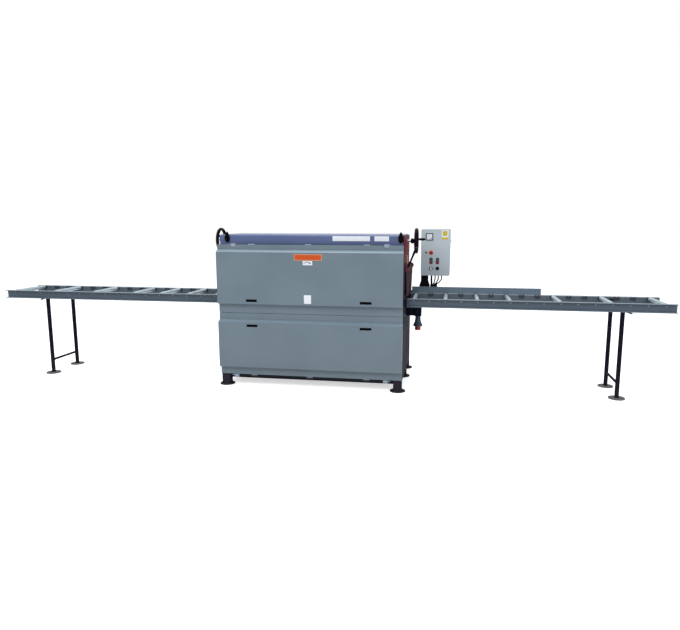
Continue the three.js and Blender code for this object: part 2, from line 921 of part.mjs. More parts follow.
// A finger slot has a folded lip behind it
function slotLipRing(x, z) {
  const outerU = slotWidth / 2 + sheet;
  const outerV = slotHeight / 2 + sheet;
  const back = coverFront + slotLip;
  const front = coverFront + sheet / 2;
  const outer = block(x - outerU, x + outerU, front, back, z - outerV, z + outerV);
  const inner = block(
    x - slotWidth / 2,
    x + slotWidth / 2,
    front - overrun,
    back + overrun,
    z - slotHeight / 2,
    z + slotHeight / 2,
  );
  return cut(outer, inner);
}

// Rolled knuckles and the strap that ties each to the cover's edge
function knuckles(edgeZ, hingeZ) {
  const strapLow = Math.min(edgeZ, hingeZ);
  const strapHigh = Math.max(edgeZ, hingeZ);
  const rolls = knuckleAtShares.map((share) => {
    const x = share * coverHalf;
    const half = knuckleLength / 2;
    const roll = bar("x", knuckleRadius, x - half, x + half, [0, hingeY, hingeZ]);
    const strap = block(x - half, x + half, coverBand, coverBand + sheet, strapLow, strapHigh);
    const web = block(x - half, x + half, coverBand, hingeY, hingeZ - sheet, hingeZ + sheet);
    return join(roll, strap, web);
  });
  const reach = coverHalf;
  const boreRadius = boreFor(hingeRod, seatGap, roundSides);
  const bore = bar("x", boreRadius, -reach, reach, [0, hingeY, hingeZ]);
  return { rolls, bore };
}

function upperCover() {
  const outline = [
    [coverBand, split + splitGap],
    [coverBand, upperReturn - undercut],
    [coverFront, upperReturn],
    [coverFront, upperLedgeLow],
    [coverBand, upperLedgeHigh],
    [coverBand, upperTop],
  ].reverse();
  const { rolls, bore } = knuckles(upperTop - sheet, upperHingeZ);
  const lugNotches = [-lugX, lugX].map((x) => {
    const half = lugWidth / 2 + coverGap;
    const low = upperHingeZ - lugNotchDepth;
    return block(x - half, x + half, coverFront, hingeY, low, upperTop + overrun);
  });
  return cut(join(coverSheet(outline, upperSlotZ), rolls), bore, lugNotches);
}

function lowerCover() {
  const outline = [
    [coverBand, lowerBottom],
    [coverBand, lowerReturn - undercut],
    [coverFront, lowerReturn],
    [coverFront, lowerLedgeLow],
    [coverBand, lowerLedgeHigh],
    [coverBand, split],
  ].reverse();
  const { rolls, bore } = knuckles(lowerBottom + sheet, lowerHingeZ);
  return cut(join(coverSheet(outline, lowerSlotZ), rolls), bore);
}
saw.add(part("upper_cover", upperCover(), coverPaint));
saw.add(part("lower_cover", lowerCover(), coverPaint));

// A hinge: a rod and the two fixed lugs that hold it, bolted to the frame behind it
function hinge(z, lugLow, lugBack) {
  const rod = bar("x", hingeRod, -lugX - lugWidth, lugX + lugWidth, [0, hingeY, z]);
  const lugs = [-lugX, lugX].map((x) => {
    const half = lugWidth / 2;
    const top = lugLow + lugHeight;
    return block(x - half, x + half, hingeY - knuckleRadius, lugBack, lugLow, top);
  });
  return join(rod, lugs);
}
saw.add(part("upper_hinge", hinge(upperHingeZ, postTop + seatGap, hoodFront - seatGap), zinc));
saw.add(part("lower_hinge", hinge(lowerHingeZ, baseRailLow, baseRailFront - seatGap), zinc));

// Top hood: a bent sheet over the top rails and down the back, with closed ends
function topHood() {
  const low = postTop + seatGap;
  const back = hoodRear + sheet;
  const outline = [
    [back, low],
    [back, hoodTop - hoodChamfer],
    [back - hoodChamfer, hoodTop],
    [hoodFront + hoodChamfer, hoodTop],
    [hoodFront, hoodTop - hoodChamfer],
    [hoodFront, low],
  ];
  const inner = insetLine(outline, sheet);
  const hollow = [...inner, [inner.at(-1)[0], low - overrun], [inner[0][0], low - overrun]];
  const reach = hoodHalf - sheet;
  const shell = cut(pushed("x", outline, -hoodHalf, hoodHalf), pushed("x", hollow, -reach, reach));
  const rear = block(-reach, reach, hoodRear, back, hoodRearLow, hoodTop - 2 * hoodChamfer);
  const bosses = [-1, 1].map((side) => {
    const outer = side * (hoodHalf + endPlateThick + seatGap);
    const inner = side * (hoodHalf - hoodBossLength);
    const low = Math.min(outer, inner);
    return bar("x", hoodBossRadius, low, Math.max(outer, inner), [0, shaftY, shaftZ], rollerSides);
  });
  const shaftBore = boreFor(shaftRadius, seatGap);
  const bore = bar("x", shaftBore, -infeedWheelX, infeedWheelX, [0, shaftY, shaftZ], boreSides);
  const window = block(
    -housingFootHalf - overrun,
    housingFootHalf + overrun,
    hoodRear - overrun,
    hoodRear + sheet + overrun,
    hoodRearLow - overrun,
    arborZ + housingRadius + housingFootHeight,
  );
  return cut(join(shell, rear, bosses), bore, window);
}
saw.add(part("top_hood", topHood(), beamPaint));

// Rubber stops that catch the raised cover: a long pad, widest in the middle, with a round nose
function coverStop(x) {
  const half = stopWidth / 2;
  const right = stopWidthShares.map((share, index) => [
    x + half * share,
    stopLow + stopHeight * stopHeightShares[index],
  ]);
  const left = right.map(([u, v]) => [2 * x - u, v]).reverse();
  const back = hoodFront - seatGap;
  const pad = pushed("y", [...right, ...left], back - stopThick, back);
  const nose = bar("y", half / 2, back - stopDepth, back - stopThick / 2, [x, 0, stopLow + half]);
  return join(pad, nose);
}
saw.add(part("cover_stop_outfeed", coverStop(stopInsets.outfeed - frameHalf), black));
saw.add(part("cover_stop_infeed", coverStop(frameHalf - stopInsets.infeed), black));

// Rear cover: a bent sheet over the back of the base, with a guard over the belt and bearing housing
function rearCover() {
  const deck = rearDeck + seatGap;
  const back = rearPostRear + seatGap;
  const outline = [
    [back + sheet, rearCoverLow],
    [back + sheet, deck + sheet],
    [hoodRear + sheet + seatGap, deck + sheet],
  ];
  const skin = pushed("x", bentSheet(outline, sheet), -rearCoverHalf, rearCoverHalf);
  const guardOutline = [
    [hoodRear + sheet + seatGap, deck],
    [back + sheet, deck],
    [back + sheet, guardTop - guardSlope],
    [back - guardSlope, guardTop],
    [hoodRear + sheet + seatGap, guardTop],
  ];
  const guardInner = [
    [hoodRear, deck - overrun],
    [back, deck - overrun],
    [back, guardTop - guardSlope - sheet],
    [back - guardSlope, guardTop - sheet],
    [hoodRear, guardTop - sheet],
  ];
  const guard = pushed("x", guardOutline, -guardHalf, guardHalf);
  const hollow = pushed("x", guardInner, sheet - guardHalf, guardHalf - sheet);
  const vents = [-louvreX, louvreX].flatMap((x) =>
    steps(louvreCount).map((index) => {
      const z = louvreLow + index * louvrePitch;
      const half = louvreWidth / 2;
      return block(x - half, x + half, back - overrun, back + sheet + overrun, z, z + louvreHeight);
    }),
  );
  return cut(join(skin, guard), hollow, vents);
}
saw.add(part("rear_cover", rearCover(), coverPaint));

// Saw arbor: a shaft in two bearings, with a grooved pulley at the back and a flange and nut at the front
const housingEnd = housingRear + housingCapThick;
const pulleyFront = pulleyY - pulleyWidth / 2;
const pulleyBack = pulleyY + pulleyWidth / 2;
const bladeSetFront = -bladeSpan / 2 - flangeThick;
const bladeSetRear = bladeSpan / 2;

// The rim of a grooved pulley, from its front face to its back face
function grooveProfile(radius) {
  const pitch = pulleyWidth / grooveCount;
  return steps(grooveCount).flatMap((index) => {
    const start = pulleyFront + index * pitch;
    return [
      [radius, start],
      [radius - grooveDepth, start + pitch / 2],
    ];
  });
}

function sawArbor() {
  const profile = [
    [0, arborFront],
    [arborRadius - runGap, arborFront],
    [arborRadius - runGap, bladeSetFront - nutThick],
    [nutRadius, bladeSetFront - nutThick],
    [nutRadius, bladeSetFront - seatGap],
    [arborRadius, bladeSetFront - seatGap],
    [arborRadius, pulleyFront],
    ...grooveProfile(arborPulleyRadius),
    [arborPulleyRadius, pulleyBack],
    [arborRadius, pulleyBack],
    [arborRadius, pulleyBack + nutThick],
    [0, pulleyBack + nutThick],
  ];
  return revolved("y", profile, [0, 0, arborZ], fineSides);
}
saw.add(part("saw_arbor", sawArbor(), steel));

// Blades: hook teeth with round gullets, and raker slots that let the sawdust out
function bladeOutline() {
  const shape = new THREE.Shape();
  const pitch = (2 * Math.PI) / bladeTeeth;
  const root = bladeRadius - toothDepth;
  const at = (radius, angle) => [radius * Math.cos(angle), arborZ + radius * Math.sin(angle)];
  steps(bladeTeeth).forEach((index) => {
    const start = index * pitch;
    const tip = at(bladeRadius, start);
    if (index === 0) shape.moveTo(...tip);
    else shape.lineTo(...tip);
    shape.lineTo(...at(root, start + gulletShares[0] * pitch));
    shape.lineTo(...at(root, start + gulletShares[1] * pitch));
  });
  return shape.getPoints(1);
}

function blade(y) {
  const outline = bladeOutline().slice(0, -1).map((point) => [point.x, point.y]);
  const plate = pushed("y", outline, y, y + bladeThick);
  const rakers = steps(rakerCount).map((index) => {
    const slot = block(
      rakerLowRadius,
      rakerHighRadius,
      y - overrun,
      y + bladeThick + overrun,
      -rakerWidth / 2,
      rakerWidth / 2,
    );
    const turn = (360 * (index + 1 / 2)) / rakerCount;
    return slot.rotate([0, turn, 0]).translate([0, 0, arborZ]);
  });
  return cut(plate, rakers);
}

function bladeGang() {
  const pitch = (bladeSpan - bladeThick) / (bladeCount - 1);
  const blades = steps(bladeCount).map((index) => blade(-bladeSpan / 2 + index * pitch));
  const profile = [
    [0, bladeSetFront],
    [flangeRadius, bladeSetFront],
    [flangeRadius, bladeSetFront + flangeThick],
    [sleeveRadius, bladeSetFront + flangeThick],
    [sleeveRadius, bladeSetRear],
    [flangeRadius, bladeSetRear],
    [flangeRadius, bladeSetRear + flangeThick],
    [0, bladeSetRear + flangeThick],
  ];
  const sleeve = revolved("y", profile, [0, 0, arborZ], fineSides);
  const bore = bar(
    "y",
    boreFor(arborRadius, seatGap, fineSides),
    bladeSetFront - overrun,
    bladeSetRear + flangeThick + overrun,
    [0, 0, arborZ],
    fineSides,
  );
  return cut(join(blades, sleeve), bore);
}
saw.add(part("blade_gang", bladeGang(), steel));

// Bearing housing: a cast tube with end caps, on a webbed foot across the housing rails
function arborHousing() {
  const profile = [
    [0, housingFront - housingCapThick],
    [housingCapRadius, housingFront - housingCapThick],
    [housingCapRadius, housingFront],
    [housingRadius, housingFront],
    [housingRadius, housingRear],
    [housingCapRadius, housingRear],
    [housingCapRadius, housingEnd],
    [0, housingEnd],
  ];
  const tubeBody = revolved("y", profile, [0, 0, arborZ], fineSides);
  const footLow = rearDeck + seatGap;
  const footBack = Math.min(housingRear, rearPostY);
  const foot = block(
    -housingFootHalf,
    housingFootHalf,
    hoodRear + 2 * sheet,
    footBack,
    footLow,
    footLow + housingFootHeight,
  );
  const web = block(-housingWebHalf, housingWebHalf, hoodRear + 2 * sheet, footBack, footLow, arborZ);
  const bore = bar(
    "y",
    boreFor(arborRadius, seatGap, fineSides),
    housingFront - housingCapThick - overrun,
    housingEnd + overrun,
    [0, 0, arborZ],
    fineSides,
  );
  return cut(join(tubeBody, foot, web), bore);
}
saw.add(part("arbor_housing", arborHousing(), castIron));

// Main motor: a finned body on feet, with a fan cowl, a terminal box and a shaft end
const motorFootLow = baseRailHigh + motorPlateThick + seatGap;

function mainMotor() {
  const core = motorRadius - motorFinHeight;
  const middle = [0, 0, motorZ];
  const body = bar("y", core, motorFront + overrun, motorRear - overrun, middle, fineSides);
  const fins = steps(motorFinCount).map((index) => {
    const fin = block(
      0,
      motorRadius,
      motorFootFront,
      motorRear - motorFinHeight * 2,
      -motorFinHeight / 4,
      motorFinHeight / 4,
    );
    return fin.rotate([0, (360 * index) / motorFinCount, 0]).translate([0, 0, motorZ]);
  });
  const cowl = bar("y", motorRadius, motorFront, motorFootFront - motorFinHeight, middle, fineSides);
  const flange = bar("y", motorRadius, motorRear - motorFinHeight, motorRear, middle, fineSides);
  const feet = [-1, 1].map((side) => {
    const near = side * (motorFootHalf / 2);
    const far = side * motorFootHalf;
    const x0 = Math.min(near, far);
    const x1 = Math.max(near, far);
    const back = motorFootFront + motorFootLength;
    const pad = block(x0, x1, motorFootFront, back, motorFootLow, motorFootLow + motorFootHeight);
    const legPlate = block(
      (x0 + x1) / 2 - motorFinHeight / 2,
      (x0 + x1) / 2 + motorFinHeight / 2,
      motorFootFront,
      back,
      motorFootLow,
      motorZ,
    );
    return join(pad, legPlate);
  });
  const box = block(
    -terminalBox / 2,
    terminalBox / 2,
    motorFootFront,
    motorFootFront + terminalBox,
    motorZ,
    motorZ + motorRadius + terminalBox / 2,
  );
  const stub = bar("y", motorShaft, motorRear - 2 * overrun, pulleyBack, middle, fineSides);
  return join(body, fins, cowl, flange, feet, box, stub);
}
saw.add(part("main_motor", mainMotor(), motorPaint));

function motorPulley() {
  const profile = [
    [0, pulleyFront],
    ...grooveProfile(motorPulleyRadius),
    [motorPulleyRadius, pulleyBack],
    [0, pulleyBack],
  ];
  const wheel = revolved("y", profile, [0, 0, motorZ], fineSides);
  const bore = boreFor(motorShaft, seatGap, fineSides);
  const hole = bar("y", bore, pulleyFront - overrun, pulleyBack + overrun, [0, 0, motorZ], fineSides);
  return cut(wheel, hole);
}
saw.add(part("motor_pulley", motorPulley(), castIron));

// Drive belt: one wide ribbed loop round both pulleys
function driveBelt() {
  const top = arborPulleyRadius + seatGap;
  const low = motorPulleyRadius + seatGap;
  const rise = arborZ - motorZ;
  const tilt = Math.asin((low - top) / rise);
  const loopSteps = boreSides;
  const wrap = (Math.PI + 2 * Math.abs(tilt)) / loopSteps;
  const loop = (extra) => {
    const upper = steps(loopSteps + 1).map((index) => {
      const angle = -tilt + ((Math.PI + 2 * tilt) * index) / loopSteps;
      const radius = (top + extra) / Math.cos(wrap / 2);
      return [radius * Math.cos(angle), arborZ + radius * Math.sin(angle)];
    });
    const lower = steps(loopSteps + 1).map((index) => {
      const angle = Math.PI + tilt + ((Math.PI - 2 * tilt) * index) / loopSteps;
      const radius = (low + extra) / Math.cos(wrap / 2);
      return [radius * Math.cos(angle), motorZ + radius * Math.sin(angle)];
    });
    return [...upper, ...lower];
  };
  const inset = pulleyWidth * beltInsetShare;
  const outer = pushed("y", loop(beltThick), pulleyFront + inset, pulleyBack - inset);
  const inner = pushed("y", loop(0), pulleyFront - overrun, pulleyBack + overrun);
  return cut(outer, inner);
}
saw.add(part("drive_belt", driveBelt(), black));

// Feed rollers: fluted drums below the timber, on journals in the bed beams
function feedRoller(x, backReach) {
  const outline = steps(feedFinCount * 2).map((index) => {
    const angle = (Math.PI * index) / feedFinCount;
    const radius = index % 2 ? feedRadius - feedFlute : feedRadius;
    return [radius * Math.cos(angle), radius * Math.sin(angle)];
  });
  const drum = pushed("y", outline, -feedHalfLength, feedHalfLength);
  const journal = bar("y", feedJournal, bedBeamY - overrun, backReach, [0, 0, 0], boreSides);
  const roller = part(x > 0 ? "feed_roller_infeed" : "feed_roller_outfeed", join(drum, journal), steel);
  roller.position.set(x, 0, feedZ);
  return roller;
}
const journalEnd = gearboxFront + gearboxLength + journalBlockHalf / 2;
saw.add(feedRoller(rollerX, journalEnd));
saw.add(feedRoller(-rollerX, midPostRear + journalBlockHalf));

// Feed gearbox: hollow shaft on the infeed roller's journal, held by an arm on the rear beam
function feedGearbox() {
  const back = gearboxFront + gearboxLength;
  const top = rearDeck - seatGap;
  const body = pushed(
    "y",
    cutCorners(
      rollerX - gearboxHalf,
      rollerX + gearboxHalf,
      feedZ - gearboxHalf * 2,
      Math.min(feedZ + gearboxHalf / 2, top),
      gearboxHalf / 4,
    ),
    gearboxFront,
    back,
  );
  const motorLow = feedZ - gearboxHalf - gearboxMotorRadius;
  const middle = [rollerX, 0, motorLow];
  const end = rearPostY - overrun;
  const motor = bar("y", gearboxMotorRadius, back - overrun, end - overrun, middle, rollerSides);
  const cowlFront = rearPostY - gearboxMotorLength / 3;
  const cowl = bar("y", gearboxMotorRadius + sheet, cowlFront, end, middle, rollerSides);
  const arm = block(
    rollerX - gearboxHalf / 2,
    rollerX + gearboxHalf / 2,
    midPostRear + seatGap,
    gearboxFront + overrun,
    feedZ - gearboxHalf * 2 + gearboxHalf / 4,
    bedBeamLow + (feedZ - feedJournal - bedBeamLow) / 2,
  );
  const bore = boreFor(feedJournal, seatGap);
  const hole = bar("y", bore, gearboxFront - overrun, back + overrun, [rollerX, 0, feedZ], boreSides);
  return cut(join(body, motor, cowl, arm), hole);
}
saw.add(part("feed_gearbox", feedGearbox(), motorPaint));

// Pressure yokes: a cross bar with sleeves on the guide columns, a nut for the screw and two arms
const pressZ = passLine + pressLift + pressRadius;
const yokeBarZ = pressZ + yokeBarLow;
const sleeveRadiusOut = columnRadius + sleeveWall;

function pressureYoke(name, x) {
  const top = yokeBarZ + yokeBarHeight;
  const cross = block(-yokeHalf, yokeHalf, frontColumnY, rearColumnY, yokeBarZ, top);
  const middle = yokeBarZ + yokeBarHeight / 2;
  const sleeveLow = middle - yokeSleeveHeight / 2;
  const sleeveHigh = middle + yokeSleeveHeight / 2;
  const sleeves = [frontColumnY, rearColumnY].map((y) =>
    bar("z", sleeveRadiusOut, sleeveLow, sleeveHigh, [0, y, 0]),
  );
  const nutX = Math.sign(x) * screwOffset;
  const nutEnd = Math.sign(x) * (screwOffset + nutBlock);
  const nut = block(
    Math.min(0, nutEnd),
    Math.max(0, nutEnd),
    shaftY - nutBlock,
    shaftY + nutBlock,
    yokeBarZ,
    top + nutBlock,
  );
  const arms = [-1, 1].map((side) => {
    const near = side * yokeArmInner;
    const far = side * (yokeArmInner + yokeArmThick);
    const y0 = Math.min(near, far);
    const outline = [
      [-yokeHalf / 2, pressZ - yokeArmDrop],
      [yokeHalf / 2, pressZ - yokeArmDrop],
      [yokeHalf, pressZ],
      [yokeHalf, yokeBarZ + overrun],
      [-yokeHalf, yokeBarZ + overrun],
      [-yokeHalf, pressZ],
    ];
    return pushed("y", outline, y0, y0 + yokeArmThick);
  });
  const holes = [frontColumnY, rearColumnY].map((y) =>
    bar("z", seatFor(columnRadius), sleeveLow - overrun, sleeveHigh + overrun, [0, y, 0]),
  );
  const nutTop = top + nutBlock + overrun;
  const screwHole = bar("z", screwBore, pressZ, nutTop, [nutX, shaftY, 0], boreSides);
  const reach = yokeArmInner + yokeArmThick + overrun;
  const axleBore = boreFor(pressJournal, seatGap);
  const axleHole = bar("y", axleBore, -reach, reach, [0, 0, pressZ], boreSides);
  const yoke = part(name, cut(join(cross, sleeves, nut, arms), holes, screwHole, axleHole), castIron);
  yoke.position.x = x;
  return yoke;
}
saw.add(pressureYoke("pressure_yoke_infeed", rollerX));
saw.add(pressureYoke("pressure_yoke_outfeed", -rollerX));

function pressureRoller(name, x) {
  const end = yokeArmInner + yokeArmThick;
  const profile = [
    [0, -end],
    [pressJournal, -end],
    [pressJournal, -pressHalfLength],
    [pressRadius, -pressHalfLength],
    [pressRadius, pressHalfLength],
    [pressJournal, pressHalfLength],
    [pressJournal, end],
    [0, end],
  ];
  const roller = part(name, revolved("y", profile, [0, 0, 0], boreSides), steel);
  roller.position.set(x, 0, pressZ);
  return roller;
}
saw.add(pressureRoller("pressure_roller_infeed", rollerX));
saw.add(pressureRoller("pressure_roller_outfeed", -rollerX));

// Lifting screws: each hangs by a collar on a top cross beam and ends in a bevel wheel
const bevelLow = postTop + seatGap + screwCollarThick;

function liftingScrew(name, x) {
  const profile = [
    [0, screwLow],
    [screwRadius, screwLow],
    [screwRadius, postTop + seatGap],
    [screwCollarRadius, postTop + seatGap],
    [screwCollarRadius, bevelLow],
    [bevelRadius, bevelLow],
    [bevelRadius * bevelSmallShare, bevelLow + bevelThick],
    [0, bevelLow + bevelThick],
  ];
  const screw = part(name, revolved("z", profile, [0, 0, 0], boreSides), steel);
  screw.position.set(x, shaftY, 0);
  return screw;
}
saw.add(liftingScrew("lifting_screw_infeed", screwX));
saw.add(liftingScrew("lifting_screw_outfeed", -screwX));

// Height shaft: runs the length of the hood, with a bevel wheel above each screw
function heightShaft() {
  const hubEnd = wheelHubLength / 2 - wheelDish;
  const middle = [0, shaftY, shaftZ];
  const shaft = bar("x", shaftRadius, -outfeedWheelX - hubEnd, infeedWheelX + hubEnd, middle, boreSides);
  const bevels = [-1, 1].map((side) => {
    const face = side * (screwX + bevelRadius);
    const small = face;
    const large = face + side * bevelThick;
    const wide = shaftZ - bevelLow - bevelThick / 2;
    const profile = [
      [0, Math.min(small, large)],
      [side > 0 ? wide * bevelSmallShare : wide, Math.min(small, large)],
      [side > 0 ? wide : wide * bevelSmallShare, Math.max(small, large)],
      [0, Math.max(small, large)],
    ];
    return revolved("x", profile, [0, shaftY, shaftZ]);
  });
  const collars = [-1, 1].map((side) => {
    const inner = side * (hoodHalf - hoodBossLength - seatGap);
    const outer = inner - side * screwCollarThick;
    return bar("x", screwCollarRadius, Math.min(inner, outer), Math.max(inner, outer), [0, shaftY, shaftZ]);
  });
  return join(shaft, bevels, collars);
}
saw.add(part("height_shaft", heightShaft(), steel));

// Handwheels: dished spokes and a round rim. The infeed one has a crank grip that points outwards.
function handwheel(hasGrip) {
  const rimProfile = steps(slimSides).map((index) => {
    const angle = (2 * Math.PI * index) / slimSides;
    return [wheelRadius - wheelRim + wheelRim * Math.cos(angle), wheelRim * Math.sin(angle)];
  });
  const ringGeometry = [...rimProfile, rimProfile[0]];
  const rim = revolved("x", ringGeometry, [0, 0, 0], boreSides);
  const hubEnd = wheelHubLength / 2;
  const hub = bar("x", wheelHub, -hubEnd, hubEnd, [-wheelDish, 0, 0]);
  const spokes = steps(wheelSpokes).map((index) => {
    const angle = (2 * Math.PI * index) / wheelSpokes - Math.PI / 2;
    const reach = wheelRadius - wheelRim;
    const end = [0, reach * Math.cos(angle), reach * Math.sin(angle)];
    return strut([-wheelDish, 0, 0], end, spokeRadius, slimSides);
  });
  const gripRadiusOut = wheelRadius - wheelRim;
  const neckEnd = wheelRim + gripNeck;
  const gripProfile = [
    [0, 0],
    [gripStem, 0],
    [gripStem, neckEnd],
    [gripRadius, neckEnd + gripNeck],
    [gripRadius, gripLength],
    [gripRadius / 2, gripLength + gripNeck],
    [0, gripLength + gripNeck],
  ];
  const turn = THREE.MathUtils.degToRad(gripAngle);
  const gripPlace = [0, gripRadiusOut * Math.cos(turn), gripRadiusOut * Math.sin(turn)];
  const grips = hasGrip ? [revolved("x", gripProfile, gripPlace)] : [];
  const reach = wheelHubLength + overrun;
  const bore = bar("x", seatFor(shaftRadius, boreSides), -reach, reach, [0, 0, 0], boreSides);
  return cut(join(rim, hub, spokes, grips), bore);
}

function placedHandwheel(name, x) {
  const wheel = part(name, handwheel(x > 0), black);
  wheel.position.set(x, shaftY, shaftZ);
  wheel.rotation.z = x > 0 ? 0 : Math.PI;
  return wheel;
}
saw.add(placedHandwheel("handwheel_infeed", infeedWheelX));
saw.add(placedHandwheel("handwheel_outfeed", -outfeedWheelX));

// Roller tables: a frame of two channels with a row of saddles, and rollers whose axles lie in them.
// Both are drawn as the infeed table. The outfeed table is the same, turned about the machine.
const axleZ = passLine - tableRollerRadius;
const railEnd = railStart + railLength;
const railLow = railTop - railHeight;
const slotAt = (slot) => slotFirst + (slot - 1) * slotPitch;
const socketRadius = boreFor(legRadius, seatGap) + socketWall;
const legY = railY - socketRadius + weldSink;

function channelRail(side) {
  const web = side * railY;
  const wall = side * railWall;
  const flange = web + side * railFlange;
  const outline = [
    [web, railLow],
    [flange, railLow],
    [flange, railLow + railWall],
    [web + wall, railLow + railWall],
    [web + wall, railTop - railWall],
    [flange, railTop - railWall],
    [flange, railTop],
    [web, railTop],
  ];
  const rail = pushed("x", side > 0 ? outline : outline.reverse(), railStart, railEnd);
  const plate = block(
    railStart,
    railStart + railEndPlate,
    Math.min(web, flange),
    Math.max(web, flange),
    railLow,
    railTop,
  );
  return join(rail, plate, saddles(side));
}

// Saddles: blocks on the inside of the web, each with a slot that is open at the top for an axle
function saddles(side) {
  const inner = side * (railY - saddleThick);
  const outer = side * (railY + railWall / 2);
  const low = axleZ - tableAxle - saddleFloor;
  const top = railTop - saddleDrop;
  const slotHalf = tableAxle + runGap;
  const slotFloor = axleZ - tableAxle - seatGap;
  return steps(slotsPerRail).map((index) => {
    const x = slotAt(index + 1);
    const outline = [
      [x - saddleWidth / 2, low],
      [x + saddleWidth / 2, low],
      [x + saddleWidth / 2, top],
      [x + slotHalf, top],
      [x + slotHalf, slotFloor],
      [x - slotHalf, slotFloor],
      [x - slotHalf, top],
      [x - saddleWidth / 2, top],
    ];
    return pushed("y", outline, Math.min(inner, outer), Math.max(inner, outer));
  });
}

// Leg socket: a short sleeve welded to the rail's web, with a clamp handle on its outer side
function legSocket(side) {
  const middle = [legX, side * legY, 0];
  const outer = bar("z", socketRadius, socketLow, socketHigh, middle, boreSides);
  const bore = boreFor(legRadius, seatGap);
  const hole = bar("z", bore, socketLow - overrun, socketHigh + overrun, middle, boreSides);
  const start = legX + (bore + socketRadius) / 2;
  const clampZ = socketLow + clampRadius;
  const handle = strut(
    [start, side * legY, clampZ],
    [start + clampReach, side * legY, clampZ - clampDrop],
    clampRadius,
    slimSides,
  );
  return join(cut(outer, hole), cut(handle, hole));
}

function tableFrame() {
  const tieSlots = [rollerSlots[0], rollerSlots.at(-1)];
  const ties = tieSlots.map((slot) => {
    const x = slotAt(slot);
    return block(x - tieWidth / 2, x + tieWidth / 2, -railY, railY, railLow, railLow + tieHeight);
  });
  const tieEnd = legY - socketRadius + socketWall / 2;
  const socketBar = block(
    legX - socketTie / 2,
    legX + socketTie / 2,
    -tieEnd,
    tieEnd,
    railLow,
    railLow + tieHeight,
  );
  return join(channelRail(1), channelRail(-1), ties, socketBar, legSocket(1), legSocket(-1));
}

function tableRoller() {
  const face = railY - saddleThick - tableRollerGap;
  const end = railY - runGap;
  const profile = [
    [0, -end],
    [tableAxle, -end],
    [tableAxle, -face],
    [tableRollerRadius, -face],
    [tableRollerRadius, face],
    [tableAxle, face],
    [tableAxle, end],
    [0, end],
  ];
  return revolved("y", profile, [0, 0, 0]);
}

function legFrame() {
  const legs = [-legY, legY].map((y) => {
    const post = bar("z", legRadius, footThick / 2, legTop, [legX, y, 0], boreSides);
    const plate = bar("z", footRadius, 0, footThick, [legX, y, 0], rollerSides);
    return join(post, plate);
  });
  return join(legs, bar("y", legBarRadius, -legY, legY, [legX, 0, legBarZ]));
}

function table(end) {
  const group = new THREE.Group();
  group.add(part(`${end}_table_frame`, tableFrame(), railPaint));
  group.add(part(`${end}_leg_frame`, legFrame(), navyPaint));
  rollerSlots.forEach((slot, index) => {
    const roller = part(`${end}_roller_${index + 1}`, tableRoller(), zinc);
    roller.position.set(slotAt(slot), 0, axleZ);
    group.add(roller);
  });
  return group;
}
const infeedTable = table("infeed");
const outfeedTable = table("outfeed");
outfeedTable.rotation.z = Math.PI;
saw.add(infeedTable, outfeedTable);

// Fence: an angle bolted along the top of the infeed table's far rail
function fence() {
  const low = railTop + seatGap;
  const outline = [
    [railY, low],
    [railY + railFlange, low],
    [railY + railFlange, low + fenceThick],
    [railY + fenceThick, low + fenceThick],
    [railY + fenceThick, low + fenceHeight],
    [railY, low + fenceHeight],
  ];
  return pushed("x", outline, fenceStart, fenceStart + fenceLength);
}
saw.add(part("infeed_fence", fence(), railPaint));

// Control box: a hollow case with a mounting plate inside, and a shallow pan for a door
const boxRight = boxX + boxWidth;
const boxTop = boxZ + boxHeight;
const boxBack = boxY + boxDepth;
const doorBack = boxY - seatGap;
const doorFront = doorBack - doorDepth;

function controlBox() {
  const outline = cutCorners(boxX, boxRight, boxZ, boxTop, doorCorner / 2);
  const hollowOutline = cutCorners(
    boxX + boxWall,
    boxRight - boxWall,
    boxZ + boxWall,
    boxTop - boxWall,
    doorCorner / 2,
  );
  const shell = pushed("y", outline, boxY, boxBack);
  const hollow = pushed("y", hollowOutline, boxY - overrun, boxBack - boxWall);
  const plate = block(
    boxX + 2 * plateInset,
    boxRight - 2 * plateInset,
    boxBack - boxWall - plateInset,
    boxBack - boxWall / 2,
    boxZ + 2 * plateInset,
    boxTop - 2 * plateInset,
  );
  return join(cut(shell, hollow), plate);
}
saw.add(part("control_box", controlBox(), boxPaint));

// Places of the controls on the door: name of the hole, x, z and its radius
const stemHole = boreFor(stemRadius, runGap, roundSides);
const buttonRows = [buttonRowZ + plungerSpacing / 2, buttonRowZ - plungerSpacing / 2];
const buttonColumns = [controlColumn, controlColumnTwo];

function doorControls() {
  const bezels = buttonColumns.map((x) =>
    block(
      x - bezelWidth / 2,
      x + bezelWidth / 2,
      doorFront - bezelProud,
      doorFront + overrun,
      buttonRowZ - bezelHeight / 2,
      buttonRowZ + bezelHeight / 2,
    ),
  );
  const meterHalf = meterSize / 2;
  const meter = block(
    meterX - meterHalf,
    meterX + meterHalf,
    doorFront - meterProud,
    doorFront + overrun,
    meterZ - meterHalf,
    meterZ + meterHalf,
  );
  const lamp = bar("y", lampRadius, doorFront - meterProud, doorFront + overrun, [lampX, 0, stopRowZ]);
  const collars = buttonColumns.map((x) =>
    bar("y", collarRadius, doorFront - bezelProud, doorFront + overrun, [x, 0, selectorRowZ]),
  );
  return [...bezels, meter, lamp, ...collars];
}

